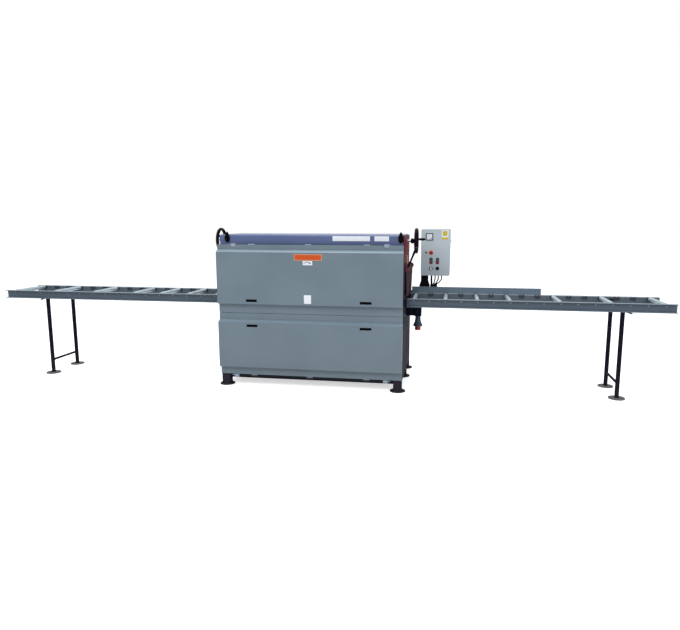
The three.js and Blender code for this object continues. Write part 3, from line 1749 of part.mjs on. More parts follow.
function controlDoor() {
  const outline = cutCorners(boxX, boxRight, boxZ, boxTop, doorCorner);
  const inner = cutCorners(
    boxX + boxWall,
    boxRight - boxWall,
    boxZ + boxWall,
    boxTop - boxWall,
    doorCorner,
  );
  const pan = pushed("y", outline, doorFront, doorBack);
  const hollow = pushed("y", inner, doorFront + boxWall, doorBack + overrun);
  const hinges = [boxZ + boxHeight / 4, boxTop - boxHeight / 4].map((z) =>
    bar("z", doorHinge, z - doorHinge * 3, z + doorHinge * 3, [boxRight, doorFront + doorHinge, 0]),
  );
  const round = [
    [controlColumn, stopRowZ],
    [controlColumn, selectorRowZ],
    [controlColumnTwo, selectorRowZ],
  ];
  const roundHoles = round.map(([x, z]) =>
    bar("y", stemHole, doorFront - meterProud - overrun, doorBack + overrun, [x, 0, z]),
  );
  const half = plungerSize / 2 + runGap;
  const squareHoles = buttonColumns.flatMap((x) =>
    buttonRows.map((z) =>
      block(
        x - half,
        x + half,
        doorFront - bezelProud - overrun,
        doorBack + overrun,
        z - half,
        z + half,
      ),
    ),
  );
  return cut(join(cut(pan, hollow), doorControls(), hinges), roundHoles, squareHoles);
}
saw.add(part("control_box_door", controlDoor(), boxPaint));

// Emergency stop: a mushroom head on a stem through the door
function emergencyStop() {
  const head = doorFront - buttonTravel - runGap;
  const profile = [
    [0, head - mushroomThick],
    [mushroomRadius * mushroomCrownShare, head - mushroomThick],
    [mushroomRadius, head - mushroomThick / 2],
    [mushroomRadius, head - runGap],
    [stemRadius, head],
    [stemRadius, doorFront + boxWall + stemBack],
    [0, doorFront + boxWall + stemBack],
  ];
  return revolved("y", profile, [controlColumn, 0, stopRowZ], rollerSides);
}
saw.add(part("emergency_stop", emergencyStop(), redPlastic));

// Start and stop plungers, one pair for the saw and one for the feed
function plunger(x, z) {
  const half = plungerSize / 2;
  const front = doorFront - bezelProud - plungerProud;
  return block(x - half, x + half, front, doorFront + boxWall + stemBack / 2, z - half, z + half);
}
const circuits = ["saw", "feed"];
circuits.forEach((circuit, index) => {
  const x = buttonColumns[index];
  saw.add(part(`start_button_${circuit}`, plunger(x, buttonRows[0]), greenPlastic));
  saw.add(part(`stop_button_${circuit}`, plunger(x, buttonRows[1]), redPlastic));
});

// Rotary switches: a round body with a raised grip bar, on a stem through the door
function rotary(x, gripHalf) {
  const seat = doorFront - bezelProud - seatGap;
  const profile = [
    [0, seat - knobThick / 2],
    [knobRadius, seat - knobThick / 2],
    [knobRadius, seat],
    [stemRadius, seat],
    [stemRadius, doorFront + boxWall + stemBack],
    [0, doorFront + boxWall + stemBack],
  ];
  const body = revolved("y", profile, [x, 0, selectorRowZ], rollerSides);
  const grip = block(
    x - gripHalf,
    x + gripHalf,
    seat - knobThick,
    seat - knobThick / 2 + seatGap,
    selectorRowZ - knobRadius + gripHalf / 4,
    selectorRowZ + knobRadius - gripHalf / 4,
  );
  return join(body, grip);
}
saw.add(part("selector_switch", rotary(controlColumn, knobGrip / 2), whitePlastic));
saw.add(part("speed_knob", rotary(controlColumnTwo, knobGrip), black));

// Control post: an arm from the frame's rear beam, with an upright that widens at its foot
function controlPost() {
  const armStart = frameHalf - railInset + seatGap;
  const arm = block(armStart, armEnd, armY, armY + armDepth, armLow, armHigh);
  const anchor = block(
    armStart,
    armStart + armPlate,
    armY - armPlateMargin,
    armY + armDepth + armPlateMargin,
    Math.max(armLow - armPlateMargin, endSheetHigh + seatGap),
    Math.min(armHigh + armPlateMargin, rearDeck),
  );
  const right = controlPostX + controlPostWidth;
  const outline = [
    [controlPostX - postSpread, armHigh - overrun],
    [right + postSpread, armHigh - overrun],
    [right + postSpread, postSpreadLow],
    [right, postSpreadHigh],
    [right, boxZ - seatGap],
    [controlPostX, boxZ - seatGap],
    [controlPostX, postSpreadHigh],
    [controlPostX - postSpread, postSpreadLow],
  ];
  const upright = pushed("y", outline, armY, armY + armDepth);
  return join(arm, anchor, upright);
}
saw.add(part("control_post", controlPost(), black));

// Control cables: four leads that drop from glands in the box and gather in a clamp block on the arm
function controlCables() {
  const low = armHigh + seatGap;
  const x0 = Math.max(cableBlockX, controlPostX + controlPostWidth + postSpread + seatGap);
  const x1 = x0 + cableBlockWidth;
  const clampBlock = block(x0, x1, armY, armY + armDepth, low, cableBlockHigh);
  const glandLow = boxZ - seatGap - cableGlandHeight;
  const leads = cableX.map((x, index) => {
    const radius = cableRadii[index];
    const share = (index + 1) / (cableX.length + 1);
    const endX = x0 + share * cableBlockWidth;
    const middle = (glandLow + cableBlockHigh) / 2;
    const route = [
      [x, cableY, boxZ - seatGap - sheet],
      [x, cableY, glandLow],
      [x, cableY, middle],
      [(x + endX) / 2, cableY, middle - cableSag / 2],
      [endX, cableY, cableBlockHigh - overrun],
    ];
    const glandRadius = Math.max(cableGlandRadius, radius + sheet);
    const gland = bar("z", glandRadius, glandLow, boxZ - seatGap, [x, cableY, 0]);
    return join(tube(route, radius, cableSteps, slimSides), gland);
  });
  return join(clampBlock, leads);
}
saw.add(part("control_cables", controlCables(), black));

// Power inlet: a junction box on a bracket, with a bell-mouthed inlet that points down
function powerInlet() {
  const half = inletBlockHalf;
  const bracket = block(
    frameHalf + seatGap,
    inletX,
    inletY - half / 2,
    inletY + half / 2,
    inletBlockLow + overrun,
    inletBlockHigh - overrun,
  );
  const box = block(
    inletX - half,
    inletX + half,
    inletY - half,
    inletY + half,
    inletBlockLow,
    inletBlockHigh,
  );
  const taper = inletNeck + (inletBell - inletNeck) / 3;
  const profile = [
    [0, inletEndLow],
    [inletEndRadius, inletEndLow],
    [inletEndRadius, inletBellZ - inletBellThick],
    [inletBell, inletBellZ - inletBellThick],
    [inletBell, inletBellZ],
    [taper, inletBellZ + inletBellThick],
    [inletNeck, inletBlockLow - inletBellThick],
    [inletNeck, inletBlockLow + overrun],
    [0, inletBlockLow + overrun],
  ];
  const bell = revolved("z", profile, [inletX, inletY, 0], boreSides);
  const boreTop = inletEndLow + inletBoreDepth;
  const socket = bar("z", inletBore, inletEndLow - overrun, boreTop, [inletX, inletY, 0]);
  return cut(join(bracket, box, bell), socket);
}
saw.add(part("power_inlet", powerInlet(), inletGrey));

// The origin: the middle of the machine on the floor
const rearFoot = rearPostY + rearPostDepth / 2 + footRadius;
saw.position.y = -(coverFront + rearFoot) / 2;
const model = new THREE.Group();
model.add(saw);
export default model;
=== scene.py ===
# %% [markdown]
# # Dressing a multi rip saw
#
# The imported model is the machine's skeleton: every plate, roller and button is there at its
# real size. This lesson dresses it. It sets the camera, gives each surface its paint or metal,
# and models the round and small pieces that plain flat facets can't show: rollers, handwheels,
# feet, switches, cables and the power inlet.

# %% Load the model
import math

import bpy
from mathutils import Matrix, Vector

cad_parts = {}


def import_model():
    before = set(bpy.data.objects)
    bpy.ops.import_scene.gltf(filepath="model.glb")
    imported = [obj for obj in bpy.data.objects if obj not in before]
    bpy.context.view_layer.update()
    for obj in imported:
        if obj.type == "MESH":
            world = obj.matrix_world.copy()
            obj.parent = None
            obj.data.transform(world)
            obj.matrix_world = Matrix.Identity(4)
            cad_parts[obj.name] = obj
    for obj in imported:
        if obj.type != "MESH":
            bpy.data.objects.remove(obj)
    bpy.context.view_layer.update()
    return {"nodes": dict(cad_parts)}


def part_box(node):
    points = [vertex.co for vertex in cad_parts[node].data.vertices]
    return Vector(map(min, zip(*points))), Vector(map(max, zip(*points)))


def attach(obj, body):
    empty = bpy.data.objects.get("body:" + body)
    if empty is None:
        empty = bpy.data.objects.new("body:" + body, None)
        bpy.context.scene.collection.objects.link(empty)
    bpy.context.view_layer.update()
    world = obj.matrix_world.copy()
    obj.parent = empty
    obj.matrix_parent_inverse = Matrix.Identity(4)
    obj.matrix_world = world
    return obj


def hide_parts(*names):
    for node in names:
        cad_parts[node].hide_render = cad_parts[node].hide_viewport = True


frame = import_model()
nodes = frame["nodes"]
bpy.ops.object.select_all(action="DESELECT")

# %% [markdown]
# ## Small helpers
#
# A new object joins the scene through one function, and a new shader node gets its sockets set
# or linked in one call. Round things need points on a circle, so there is one for them too.

# %% Object, node and circle helpers
def linked(name, data):
    thing = bpy.data.objects.new(name, data)
    bpy.context.scene.collection.objects.link(thing)
    return thing


def fill(tree, node, sources):
    """Links a socket when its source is another socket, and sets it otherwise."""
    for socket, source in sources.items():
        if isinstance(source, bpy.types.NodeSocket):
            tree.links.new(source, node.inputs[socket])
        else:
            node.inputs[socket].default_value = source
    return node


def new_node(tree, kind, sources, **settings):
    node = tree.nodes.new(kind)
    for setting, value in settings.items():
        setattr(node, setting, value)
    return fill(tree, node, sources)


def math_node(tree, operation, a, b):
    return new_node(tree, "ShaderNodeMath", {0: a, 1: b}, operation=operation).outputs[0]


def new_material(name):
    material = bpy.data.materials.new(name)
    material.use_nodes = True
    return material, material.node_tree, material.node_tree.nodes["Principled BSDF"]


def around(degrees, radius=1.0):
    """The point at this angle on a circle, as across and up."""
    turn = math.radians(degrees)
    return radius * math.cos(turn), radius * math.sin(turn)


print("small helpers ready")

# %% [markdown]
# ## Camera
#
# A photograph of a long machine is taken from several metres away. The camera here stands where
# the photographer stood: about 5.6 metres in front of the covers, right of the middle and a
# little above them. It looks about 9.7 degrees to the left and 9.4 degrees down. All this was
# found by fitting the edges of the body, tables and legs.

# %% Camera
camera_data = bpy.data.cameras.new("camera")
camera = linked("camera", camera_data)
camera_yaw = -0.1694
camera_pitch = 0.1639
camera.location = (1.3616, -6.133, 1.6343)
camera.rotation_euler = (math.radians(90) - camera_pitch, 0, -camera_yaw)
camera_data.sensor_width = 36
camera_data.lens = 31.85
camera_data.shift_x = -0.0144
camera_data.shift_y = 0.0075
bpy.context.scene.camera = camera
print("camera at", tuple(camera.location))

# %% [markdown]
# ## Floor and light
#
# The machine stands in a white studio. The floor is pale, looks a little brighter to the camera
# and keeps the shadow. The world shows white to the camera and in mirrors, while a softer, cooler
# world and three large lamps light the machine at a plain level.

# %% Floor, world and lamps
bpy.ops.mesh.primitive_plane_add(size=60, location=(0, 0, 0))
floor = bpy.context.object
floor.name = "studio_floor"


def studio_floor_material():
    material, tree, shader = new_material("studio_floor")
    fill(tree, shader, {
        "Base Color": (0.92, 0.92, 0.92, 1), "Roughness": 0.9, "Specular IOR Level": 0.1,
    })
    white = new_node(tree, "ShaderNodeEmission", {"Strength": 0.6})
    both = new_node(tree, "ShaderNodeAddShader", {0: shader.outputs[0], 1: white.outputs[0]})
    path = new_node(tree, "ShaderNodeLightPath", {})
    chosen = new_node(tree, "ShaderNodeMixShader", {
        0: path.outputs["Is Camera Ray"], 1: shader.outputs[0], 2: both.outputs[0],
    })
    fill(tree, tree.nodes["Material Output"], {"Surface": chosen.outputs[0]})
    return material


floor.data.materials.append(studio_floor_material())

world = bpy.data.worlds.new("studio")
bpy.context.scene.world = world
world.use_nodes = True
tree = world.node_tree
soft = tree.nodes["Background"]
fill(tree, soft, {"Color": (0.86, 0.93, 1.0, 1), "Strength": 0.62})
backdrop = new_node(tree, "ShaderNodeBackground", {"Color": (1, 1, 1, 1), "Strength": 1.0})
ray = new_node(tree, "ShaderNodeLightPath", {}).outputs
either = math_node(tree, "MAXIMUM", ray["Is Camera Ray"], ray["Is Glossy Ray"])
mixed = new_node(tree, "ShaderNodeMixShader", {
    0: either, 1: soft.outputs[0], 2: backdrop.outputs[0],
})
fill(tree, tree.nodes["World Output"], {"Surface": mixed.outputs[0]})


def lamp(name, place, target, size, power):
    data = bpy.data.lights.new(name, "AREA")
    data.shape = "DISK"
    data.size = size
    data.energy = power
    light = linked(name, data)
    light.location = place
    aim = Vector(target) - Vector(place)
    light.rotation_euler = aim.to_track_quat("-Z", "Y").to_euler()


lamp("key_lamp", (-3.0, -6.5, 6.5), (0, 0, 0.8), 4.5, 330)
lamp("fill_lamp", (5.5, -6.0, 4.5), (0.6, 0, 0.8), 4.5, 170)
lamp("top_lamp", (0, 1.5, 7.5), (0, 0, 0.9), 5.0, 300)
bpy.context.scene.view_settings.view_transform = "Standard"

# %% [markdown]
# ## A shared effect: worn paint
#
# Sprayed machine paint is never one flat colour. It has slow cloudy changes, fine orange peel,
# fine scratches and dust that settles low down. All painted pieces share this effect, so it is
# one node group, and each paint gives it its own colours and amounts.

# %% Node group helpers
def new_effect(name, inputs):
    """A group that gives colour, roughness and height. Four numbers as a value mean a colour."""
    group = bpy.data.node_groups.new(name, "ShaderNodeTree")
    for label, value in inputs.items():
        size = len(value) if isinstance(value, tuple) else 1
        kind = {1: "NodeSocketFloat", 3: "NodeSocketVector", 4: "NodeSocketColor"}[size]
        group.interface.new_socket(label, in_out="INPUT", socket_type=kind).default_value = value
    group.interface.new_socket("Color", in_out="OUTPUT", socket_type="NodeSocketColor")
    for label in ("Roughness", "Height"):
        group.interface.new_socket(label, in_out="OUTPUT", socket_type="NodeSocketFloat")
    start = group.nodes.new("NodeGroupInput").outputs
    return group, start, group.nodes.new("NodeGroupOutput")


def noise(tree, vector, scale, detail=3.0, roughness=0.5):
    return new_node(tree, "ShaderNodeTexNoise", {
        "Vector": vector, "Scale": scale, "Detail": detail, "Roughness": roughness,
    }).outputs["Fac"]


def ramp(tree, value, low, high, from_value=0.0, to_value=1.0):
    return new_node(tree, "ShaderNodeMapRange", {
        "Value": value, "From Min": low, "From Max": high, "To Min": from_value, "To Max": to_value,
    }).outputs["Result"]


def times(tree, a, b):
    return math_node(tree, "MULTIPLY", a, b)


def plus(tree, a, b):
    return math_node(tree, "ADD", a, b)


def scaled_colour(tree, colour, factor):
    sources = {0: colour, "Scale": factor}
    return new_node(tree, "ShaderNodeVectorMath", sources, operation="SCALE").outputs[0]


def mix_colour(tree, factor, a, b):
    """Sockets 6 and 7 of a mix node are its two colours, and output 2 is the mixed one."""
    sources = {"Factor": factor, 6: a, 7: b}
    return new_node(tree, "ShaderNodeMix", sources, data_type="RGBA").outputs[2]


def texture_place(tree, kind="Object"):
    return tree.nodes.new("ShaderNodeTexCoord").outputs[kind]


def coordinates(tree, kind="Object"):
    """The three parts of a texture coordinate, by letter."""
    return new_node(tree, "ShaderNodeSeparateXYZ", {0: texture_place(tree, kind)}).outputs


print("node group helpers ready")

# %% Worn paint group
def worn_paint_group():
    group, start, end = new_effect("worn_paint", {
        "Paint": (0.2, 0.2, 0.2, 1),
        "Dust": (0.4, 0.38, 0.34, 1),
        "Scratch": (0.5, 0.5, 0.5, 1),
        "Gloss": 0.45,
        "Wear": 0.3,
    })
    place = texture_place(group)
    clouds = noise(group, place, 2.2, 4.0)
    peel = noise(group, place, 420.0, 2.0)
    stretch = new_node(group, "ShaderNodeMapping", {
        "Vector": place, "Scale": (9.0, 9.0, 160.0), "Rotation": (0.3, 0.5, 0.2),
    })
    streaks = noise(group, stretch.outputs[0], 1.0, 5.0, 0.7)
    scratches = ramp(group, streaks, 0.7, 0.78)
    scratches = times(group, scratches, start["Wear"])
    grime = ramp(group, clouds, 0.42, 0.75)
    low = ramp(group, coordinates(group)["Z"], 0.3, 0.02)
    dust = plus(group, times(group, grime, 0.14), times(group, low, 0.3))
    dust = times(group, dust, start["Wear"])
    shade = ramp(group, clouds, 0.3, 0.7, 0.93, 1.06)
    varied = scaled_colour(group, start["Paint"], shade)
    dusty = mix_colour(group, dust, varied, start["Dust"])
    final = mix_colour(group, scratches, dusty, start["Scratch"])
    rough = plus(group, start["Gloss"], ramp(group, clouds, 0.3, 0.7, -0.05, 0.07))
    rough = plus(group, rough, times(group, dust, 0.4))
    fill(group, end, {"Color": final, "Roughness": rough, "Height": peel})
    return group


worn_paint = worn_paint_group()
print("group", worn_paint.name)

# %% [markdown]
# ## A second effect: machined metal
#
# Turned, ground or zinc-plated steel shows fine lines and slow changes of gloss. The lines here
# come from noise stretched along one direction, which each metal chooses by its own scale.

# %% Machined metal group
def machined_metal_group():
    group, start, end = new_effect("machined_metal", {
        "Metal": (0.6, 0.6, 0.6, 1),
        "Stain": (0.25, 0.22, 0.2, 1),
        "Line Scale": (4.0, 4.0, 300.0),
        "Gloss": 0.35,
        "Staining": 0.2,
    })
    place = texture_place(group)
    sources = {0: place, 1: start["Line Scale"]}
    stretched = new_node(group, "ShaderNodeVectorMath", sources, operation="MULTIPLY")
    lines = noise(group, stretched.outputs[0], 1.0, 3.0)
    clouds = noise(group, place, 7.0, 4.0)
    spots = times(group, ramp(group, clouds, 0.45, 0.8), start["Staining"])
    shade = ramp(group, lines, 0.3, 0.7, 0.88, 1.08)
    varied = scaled_colour(group, start["Metal"], shade)
    stained = mix_colour(group, spots, varied, start["Stain"])
    rough = plus(group, start["Gloss"], ramp(group, lines, 0.3, 0.7, -0.06, 0.1))
    fill(group, end, {"Color": stained, "Roughness": rough, "Height": lines})
    return group


machined_metal = machined_metal_group()
print("group", machined_metal.name)

# %% [markdown]
# ## Paints, metals, rubber and plastics
#
# Each material places a group, gives it this finish's own values, and feeds the results to a
# Principled shader. Numbers that are the same all over, such as metal or coat, are set on the
# shader itself. Colours are written as the screen shows them and turned to linear values.

# %% Materials
def linear(red, green, blue):
    def one(value):
        share = value / 255
        return share / 12.92 if share <= 0.04045 else ((share + 0.055) / 1.055) ** 2.4
    return (one(red), one(green), one(blue), 1)


def finish_from(name, group, values, metallic, bump, coat=0.0, specular=0.5):
    material, tree, shader = new_material(name)
    effect = new_node(tree, "ShaderNodeGroup", values, node_tree=group).outputs
    relief = new_node(tree, "ShaderNodeBump", {
        "Strength": bump, "Distance": 0.0006, "Height": effect["Height"],
    })
    fill(tree, shader, {
        "Metallic": metallic, "Coat Weight": coat, "Coat Roughness": 0.25,
        "Specular IOR Level": specular, "Base Color": effect["Color"],
        "Roughness": effect["Roughness"], "Normal": relief.outputs["Normal"],
    })
    return material


def paint(name, colour, gloss=0.42, wear=0.35, scratch=(150, 152, 152), coat=0.15, specular=0.5):
    values = {
        "Paint": linear(*colour),
        "Dust": linear(150, 140, 122),
        "Scratch": linear(*scratch),
        "Gloss": gloss,
        "Wear": wear,
    }
    return finish_from(name, worn_paint, values, 0.0, 0.12, coat, specular)


def dark_paint(name, colour, gloss=0.6, wear=0.08):
    """A dull dark finish, which hardly mirrors the white room."""
    return paint(name, colour, gloss, wear, (90, 90, 96), 0.0, 0.03)


def layered(material, *layers):
    """Lays further colours over a paint, each where its mask is one."""
    tree = material.node_tree
    base = tree.nodes["Principled BSDF"].inputs["Base Color"]
    for mask, colour in layers:
        under = base.links[0].from_socket
        tree.links.new(mix_colour(tree, mask, under, linear(*colour)), base)
    return material


def past(tree, value, edge, soft=0.0006):
    """One beyond the edge, zero before it."""
    return ramp(tree, value, edge, edge + soft)


def before(tree, value, edge, soft=0.0006):
    """One before the edge, zero beyond it."""
    return ramp(tree, value, edge, edge + soft, 1.0, 0.0)


table_middle_y = -0.1725
rail_inner_half = 0.2364
rail_low = 0.8188
flange_low = 0.895
rail_top = 0.9004
disc_top = 0.0102
knuckle_top = 0.1085
lug_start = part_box("lower_hinge")[1].x - 0.067


def rail_paint_material():
    """Rail paint: a little paler above the rail top and darker on the rear web, a painted highlight on
    faces that look up and on the rear rail's flange, and nearly black on saddles, ties and leg sockets.
    """
    material = paint("rail_paint", (67, 81, 94), 0.52, 0.4, (150, 152, 152), 0.0)
    tree = material.node_tree
    place = coordinates(tree)
    from_middle = math_node(tree, "ABSOLUTE", plus(tree, place["Y"], -table_middle_y), 0)
    inside = before(tree, from_middle, rail_inner_half)
    below = before(tree, place["Z"], rail_low)
    rear = ramp(tree, place["Y"], -0.12, -0.1)
    web = times(tree, rear, before(tree, place["Z"], flange_low))
    under_top = before(tree, place["Z"], rail_top, 0.0004)
    flange = times(tree, past(tree, place["Z"], flange_low), under_top)
    return layered(
        material,
        (past(tree, place["Z"], rail_top), (78, 93, 107)),
        (web, (60, 71, 82)),
        # Painted highlight: faces that look up are paler.
        (ramp(tree, coordinates(tree, "Normal")["Z"], 0.4, 0.8), (126, 138, 148)),
        # Painted highlight along the rear rail's top flange.
        (times(tree, rear, flange), (138, 148, 156)),
        (math_node(tree, "MAXIMUM", inside, below), (26, 26, 34)),
    )


def cover_paint_material():
    """Cover paint: a painted highlight on faces that look up, painted shade underneath, and dark on the
    low knuckles.
    """
    material = paint("cover_paint", (92, 107, 116), 0.44, 0.16)
    tree = material.node_tree
    rise = coordinates(tree, "Normal")["Z"]
    return layered(
        material,
        # Painted highlight: faces that look up are paler.
        (ramp(tree, rise, 0.25, 0.75), (122, 140, 152)),
        # Painted shade: faces that look down are dark.
        (ramp(tree, rise, -0.25, -0.6), (34, 42, 50)),
        (before(tree, coordinates(tree)["Z"], knuckle_top, 0.001), (24, 27, 36)),
    )


def leg_paint_material():
    """Navy tubes that stand on bare grey discs."""
    material = dark_paint("leg_paint", (18, 17, 29))
    tree = material.node_tree
    low = before(tree, coordinates(tree)["Z"], disc_top, 0.0004)
    return layered(material, (low, (98, 96, 100)))


def hinge_material():
    """Dark on the long hinge rods, zinc grey on the lugs near their ends."""
    material = dark_paint("hinge_paint", (30, 34, 42))
    tree = material.node_tree
    from_middle = math_node(tree, "ABSOLUTE", coordinates(tree)["X"], 0)
    lugs = ramp(tree, from_middle, lug_start - 0.001, lug_start)
    return layered(material, (lugs, (140, 152, 164)))


def throat_paint_material():
    """Red paint, left dark maroon by the timber as painted shade, redder higher up, and pink-red on the
    ears that reach out as a painted highlight.
    """
    material = paint("throat_red_paint", (58, 34, 44), 0.55, 0.15, (120, 100, 100), 0.0, 0.2)
    tree = material.node_tree
    place = coordinates(tree)
    high = ramp(tree, place["Z"], 1.19, 1.215)
    ears = ramp(tree, place["X"], 0.915, 0.918)
    # The maroon base low down is painted shade; the pink-red on the ears is a painted highlight.
    return layered(material, (high, (92, 20, 36)), (ears, (124, 48, 60)))


def metal(name, colour, gloss=0.34, staining=0.2, lines=(4.0, 300.0, 4.0), metallic=0.95):
    values = {
        "Metal": linear(*colour),
        "Stain": linear(92, 80, 66),
        "Line Scale": lines,
        "Gloss": gloss,
        "Staining": staining,
    }
    return finish_from(name, machined_metal, values, metallic, 0.2)


navy = dark_paint("navy_frame_paint", (31, 30, 42), 0.6, 0.12)
leg_navy = leg_paint_material()
foot_navy = dark_paint("machine_foot_paint", (42, 42, 52), 0.6, 0.2)
grey_blue = cover_paint_material()
hinge_paint = hinge_material()
violet = paint("beam_paint", (68, 82, 123), 0.42, 0.16)
throat_red = throat_paint_material()
finger_maroon = paint("finger_paint", (60, 36, 44), 0.6, 0.5, (130, 126, 120), 0.0)
rail_grey = rail_paint_material()
box_grey = paint("box_paint", (169, 177, 183), 0.5, 0.12)
motor_grey = paint("motor_paint", (86, 102, 112), 0.5, 0.5)
cast = paint("cast_iron_paint", (60, 66, 74), 0.62, 0.5, (110, 108, 104), 0.0)
wheel_black = dark_paint("wheel_paint", (12, 9, 19), 0.5)
arm_paint = dark_paint("arm_paint", (13, 13, 19))
white_plate = paint("white_plate", (208, 211, 215), 0.5, 0.1)
orange_plate = paint("orange_plate", (184, 74, 28), 0.5, 0.05, (200, 120, 80), 0.0, 0.15)
orange_edge = paint("orange_plate_edge", (196, 128, 96), 0.5, 0.05, (200, 150, 120), 0.0, 0.15)
yellow_plate = paint("yellow_plate", (190, 168, 52), 0.5, 0.1, (200, 190, 120), 0.0, 0.2)
bright_steel = metal("turned_steel", (176, 180, 184), 0.32, 0.15)
blade_steel = metal("ground_blade_steel", (146, 149, 154), 0.34, 0.08, (9.0, 9.0, 9.0))
bolt_zinc = metal("zinc_bolt", (120, 130, 138), 0.45, 0.3, (40.0, 40.0, 40.0), 0.6)
zinc_plate = metal("zinc_roller", (170, 186, 194), 0.4, 0.3, (4.0, 5.0, 260.0), 0.75)
rubber = dark_paint("stop_rubber", (7, 7, 10), 0.75)
cable_sheath = dark_paint("cable_sheath", (14, 14, 17))
inlet_grey = paint("inlet_plastic", (60, 68, 84), 0.5, 0.1, (140, 140, 140), 0.0, 0.25)
inlet_navy = dark_paint("inlet_box_paint", (20, 24, 36))
inlet_red = paint("inlet_red_plastic", (150, 10, 22), 0.36, 0.04, (200, 90, 90), 0.2)
slate = dark_paint("slate_plastic", (54, 64, 68))
pale_ring = paint("pale_ring", (200, 172, 160), 0.5, 0.05)
lamp_green = paint("lamp_green", (18, 62, 50), 0.3, 0.0, (120, 200, 150), 0.4)
tan_plastic = paint("tan_plastic", (176, 124, 92), 0.5, 0.15, (200, 180, 160), 0.0)
dark_teal = paint("dark_teal_plastic", (22, 44, 52), 0.5, 0.15, (90, 110, 110), 0.0)
orange_red = paint("orange_red_plastic", (176, 66, 40), 0.45, 0.1, (210, 140, 120), 0.1)
red_plastic = paint("red_plastic", (156, 14, 22), 0.4, 0.04, (220, 120, 120), 0.05, 0.3)
green_plastic = paint("green_plastic", (34, 96, 68), 0.4, 0.04, (120, 200, 150), 0.05, 0.3)
white_plastic = paint("white_plastic", (214, 216, 218), 0.34, 0.05, (230, 230, 230), 0.3)
black_plastic = dark_paint("black_plastic", (16, 16, 21), 0.45)
print("materials", len(bpy.data.materials))

# %% [markdown]
# ## Which node wears which finish
#
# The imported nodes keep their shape. Only the material in their slots changes, by name here so
# that the whole scheme can be read at a glance.

# %% Dress the nodes
def wear(piece, material):
    piece.data.materials.clear()
    piece.data.materials.append(material)


roller_nodes = [f"{end}_roller_{index}" for end in ("infeed", "outfeed") for index in range(1, 8)]
node_finish = {
    navy: ["main_frame", "infeed_leg_frame", "outfeed_leg_frame"],
    grey_blue: ["upper_cover", "lower_cover", "rear_cover"],
    violet: ["top_hood"],
    throat_red: ["infeed_end_plate"],
    finger_maroon: ["kickback_fingers"],
    rail_grey: ["infeed_table_frame", "outfeed_table_frame", "infeed_fence"],
    box_grey: ["control_box", "control_box_door"],
    motor_grey: ["main_motor", "feed_gearbox"],
    cast: ["arbor_housing", "motor_pulley", "pressure_yoke_infeed", "pressure_yoke_outfeed"],
    wheel_black: ["handwheel_infeed", "handwheel_outfeed"],
    arm_paint: ["control_post"],
    bright_steel: [
        "saw_arbor", "height_shaft", "lifting_screw_infeed", "lifting_screw_outfeed",
        "feed_roller_infeed", "feed_roller_outfeed", "pressure_roller_infeed",
        "pressure_roller_outfeed",
    ],
    blade_steel: ["blade_gang"],
    hinge_paint: ["upper_hinge", "lower_hinge"],
    zinc_plate: roller_nodes,
    rubber: ["cover_stop_infeed", "cover_stop_outfeed", "drive_belt"],
    cable_sheath: ["control_cables"],
    inlet_grey: ["power_inlet"],
    red_plastic: ["emergency_stop", "stop_button_saw", "stop_button_feed"],
    green_plastic: ["start_button_saw", "start_button_feed"],
    white_plastic: ["selector_switch"],
    black_plastic: ["speed_knob"],
}
dressed = set()
for material, names in node_finish.items():
    for name in names:
        wear(nodes[name], material)
        dressed.add(name)
print("bare nodes", sorted(set(nodes) - dressed))

# %% [markdown]
# ## Ways to model a small piece
#
# A turned piece starts as a flat disc on the Z axis. Its face is extruded and resized once for
# each step of the profile, as on a lathe. A cut-out piece starts as a flat outline, which is
# extruded to its thickness. No real edge is razor sharp, so the first has short steps at its rims
# and the second a small bevel. Then their place is applied to the mesh, so that the finished
# object sits at the origin.

# %% Settle a piece
def only(piece):
    bpy.ops.object.select_all(action="DESELECT")
    piece.select_set(True)
    bpy.context.view_layer.objects.active = piece


bevel_angle = math.radians(30)
smooth_angle = math.radians(32)


def apply_bevel(piece, width, segments):
    if width <= 0:
        return
    only(piece)
    bevel = piece.modifiers.new("bevel", "BEVEL")
    bevel.width = width
    bevel.segments = segments
    bevel.limit_method = "ANGLE"
    bevel.angle_limit = bevel_angle
    bpy.ops.object.modifier_apply(modifier="bevel")


def named(piece, name):
    piece.name = name
    piece.data.name = name
    return piece


def edit_all():
    bpy.ops.object.mode_set(mode="EDIT")
    bpy.ops.mesh.select_all(action="SELECT")


def face_outward():
    bpy.ops.mesh.select_all(action="SELECT")
    bpy.ops.mesh.normals_make_consistent(inside=False)
    bpy.ops.object.mode_set(mode="OBJECT")


def settle(piece, name, material, place=(0, 0, 0), turn=(0, 0, 0)):
    only(named(piece, name))
    piece.rotation_euler = turn
    piece.location = place
    bpy.ops.object.transform_apply(location=True, rotation=True, scale=True)
    bpy.ops.object.shade_smooth_by_angle(angle=smooth_angle)
    wear(piece, material)
    return piece


quarter = math.radians(90)
turns = {
    "x": (0, quarter, 0),
    "y": (-quarter, 0, 0),
    "z": (0, 0, 0),
    "-x": (0, -quarter, 0),
    "-y": (quarter, 0, 0),
    "-z": (2 * quarter, 0, 0),
    "front": (quarter, 0, 0),
    "right": (quarter, 0, quarter),
}
print("turns", len(turns))

# %% Turned pieces
def turned(name, profile, axis, place, material, sides=48, turn=None):
    radius, height = profile[0]
    bpy.ops.mesh.primitive_circle_add(
        vertices=sides, radius=radius, fill_type="NGON", location=(0, 0, height)
    )
    piece = bpy.context.object
    bpy.ops.object.transform_apply(location=True)
    edit_all()
    for next_radius, next_height in profile[1:]:
        rise = next_height - height
        bpy.ops.mesh.extrude_region_move(TRANSFORM_OT_translate={"value": (0, 0, rise)})
        share = next_radius / radius
        bpy.ops.transform.resize(value=(share, share, 1), center_override=(0, 0, next_height))
        radius, height = next_radius, next_height
    face_outward()
    return settle(piece, name, material, place, turn or turns[axis])


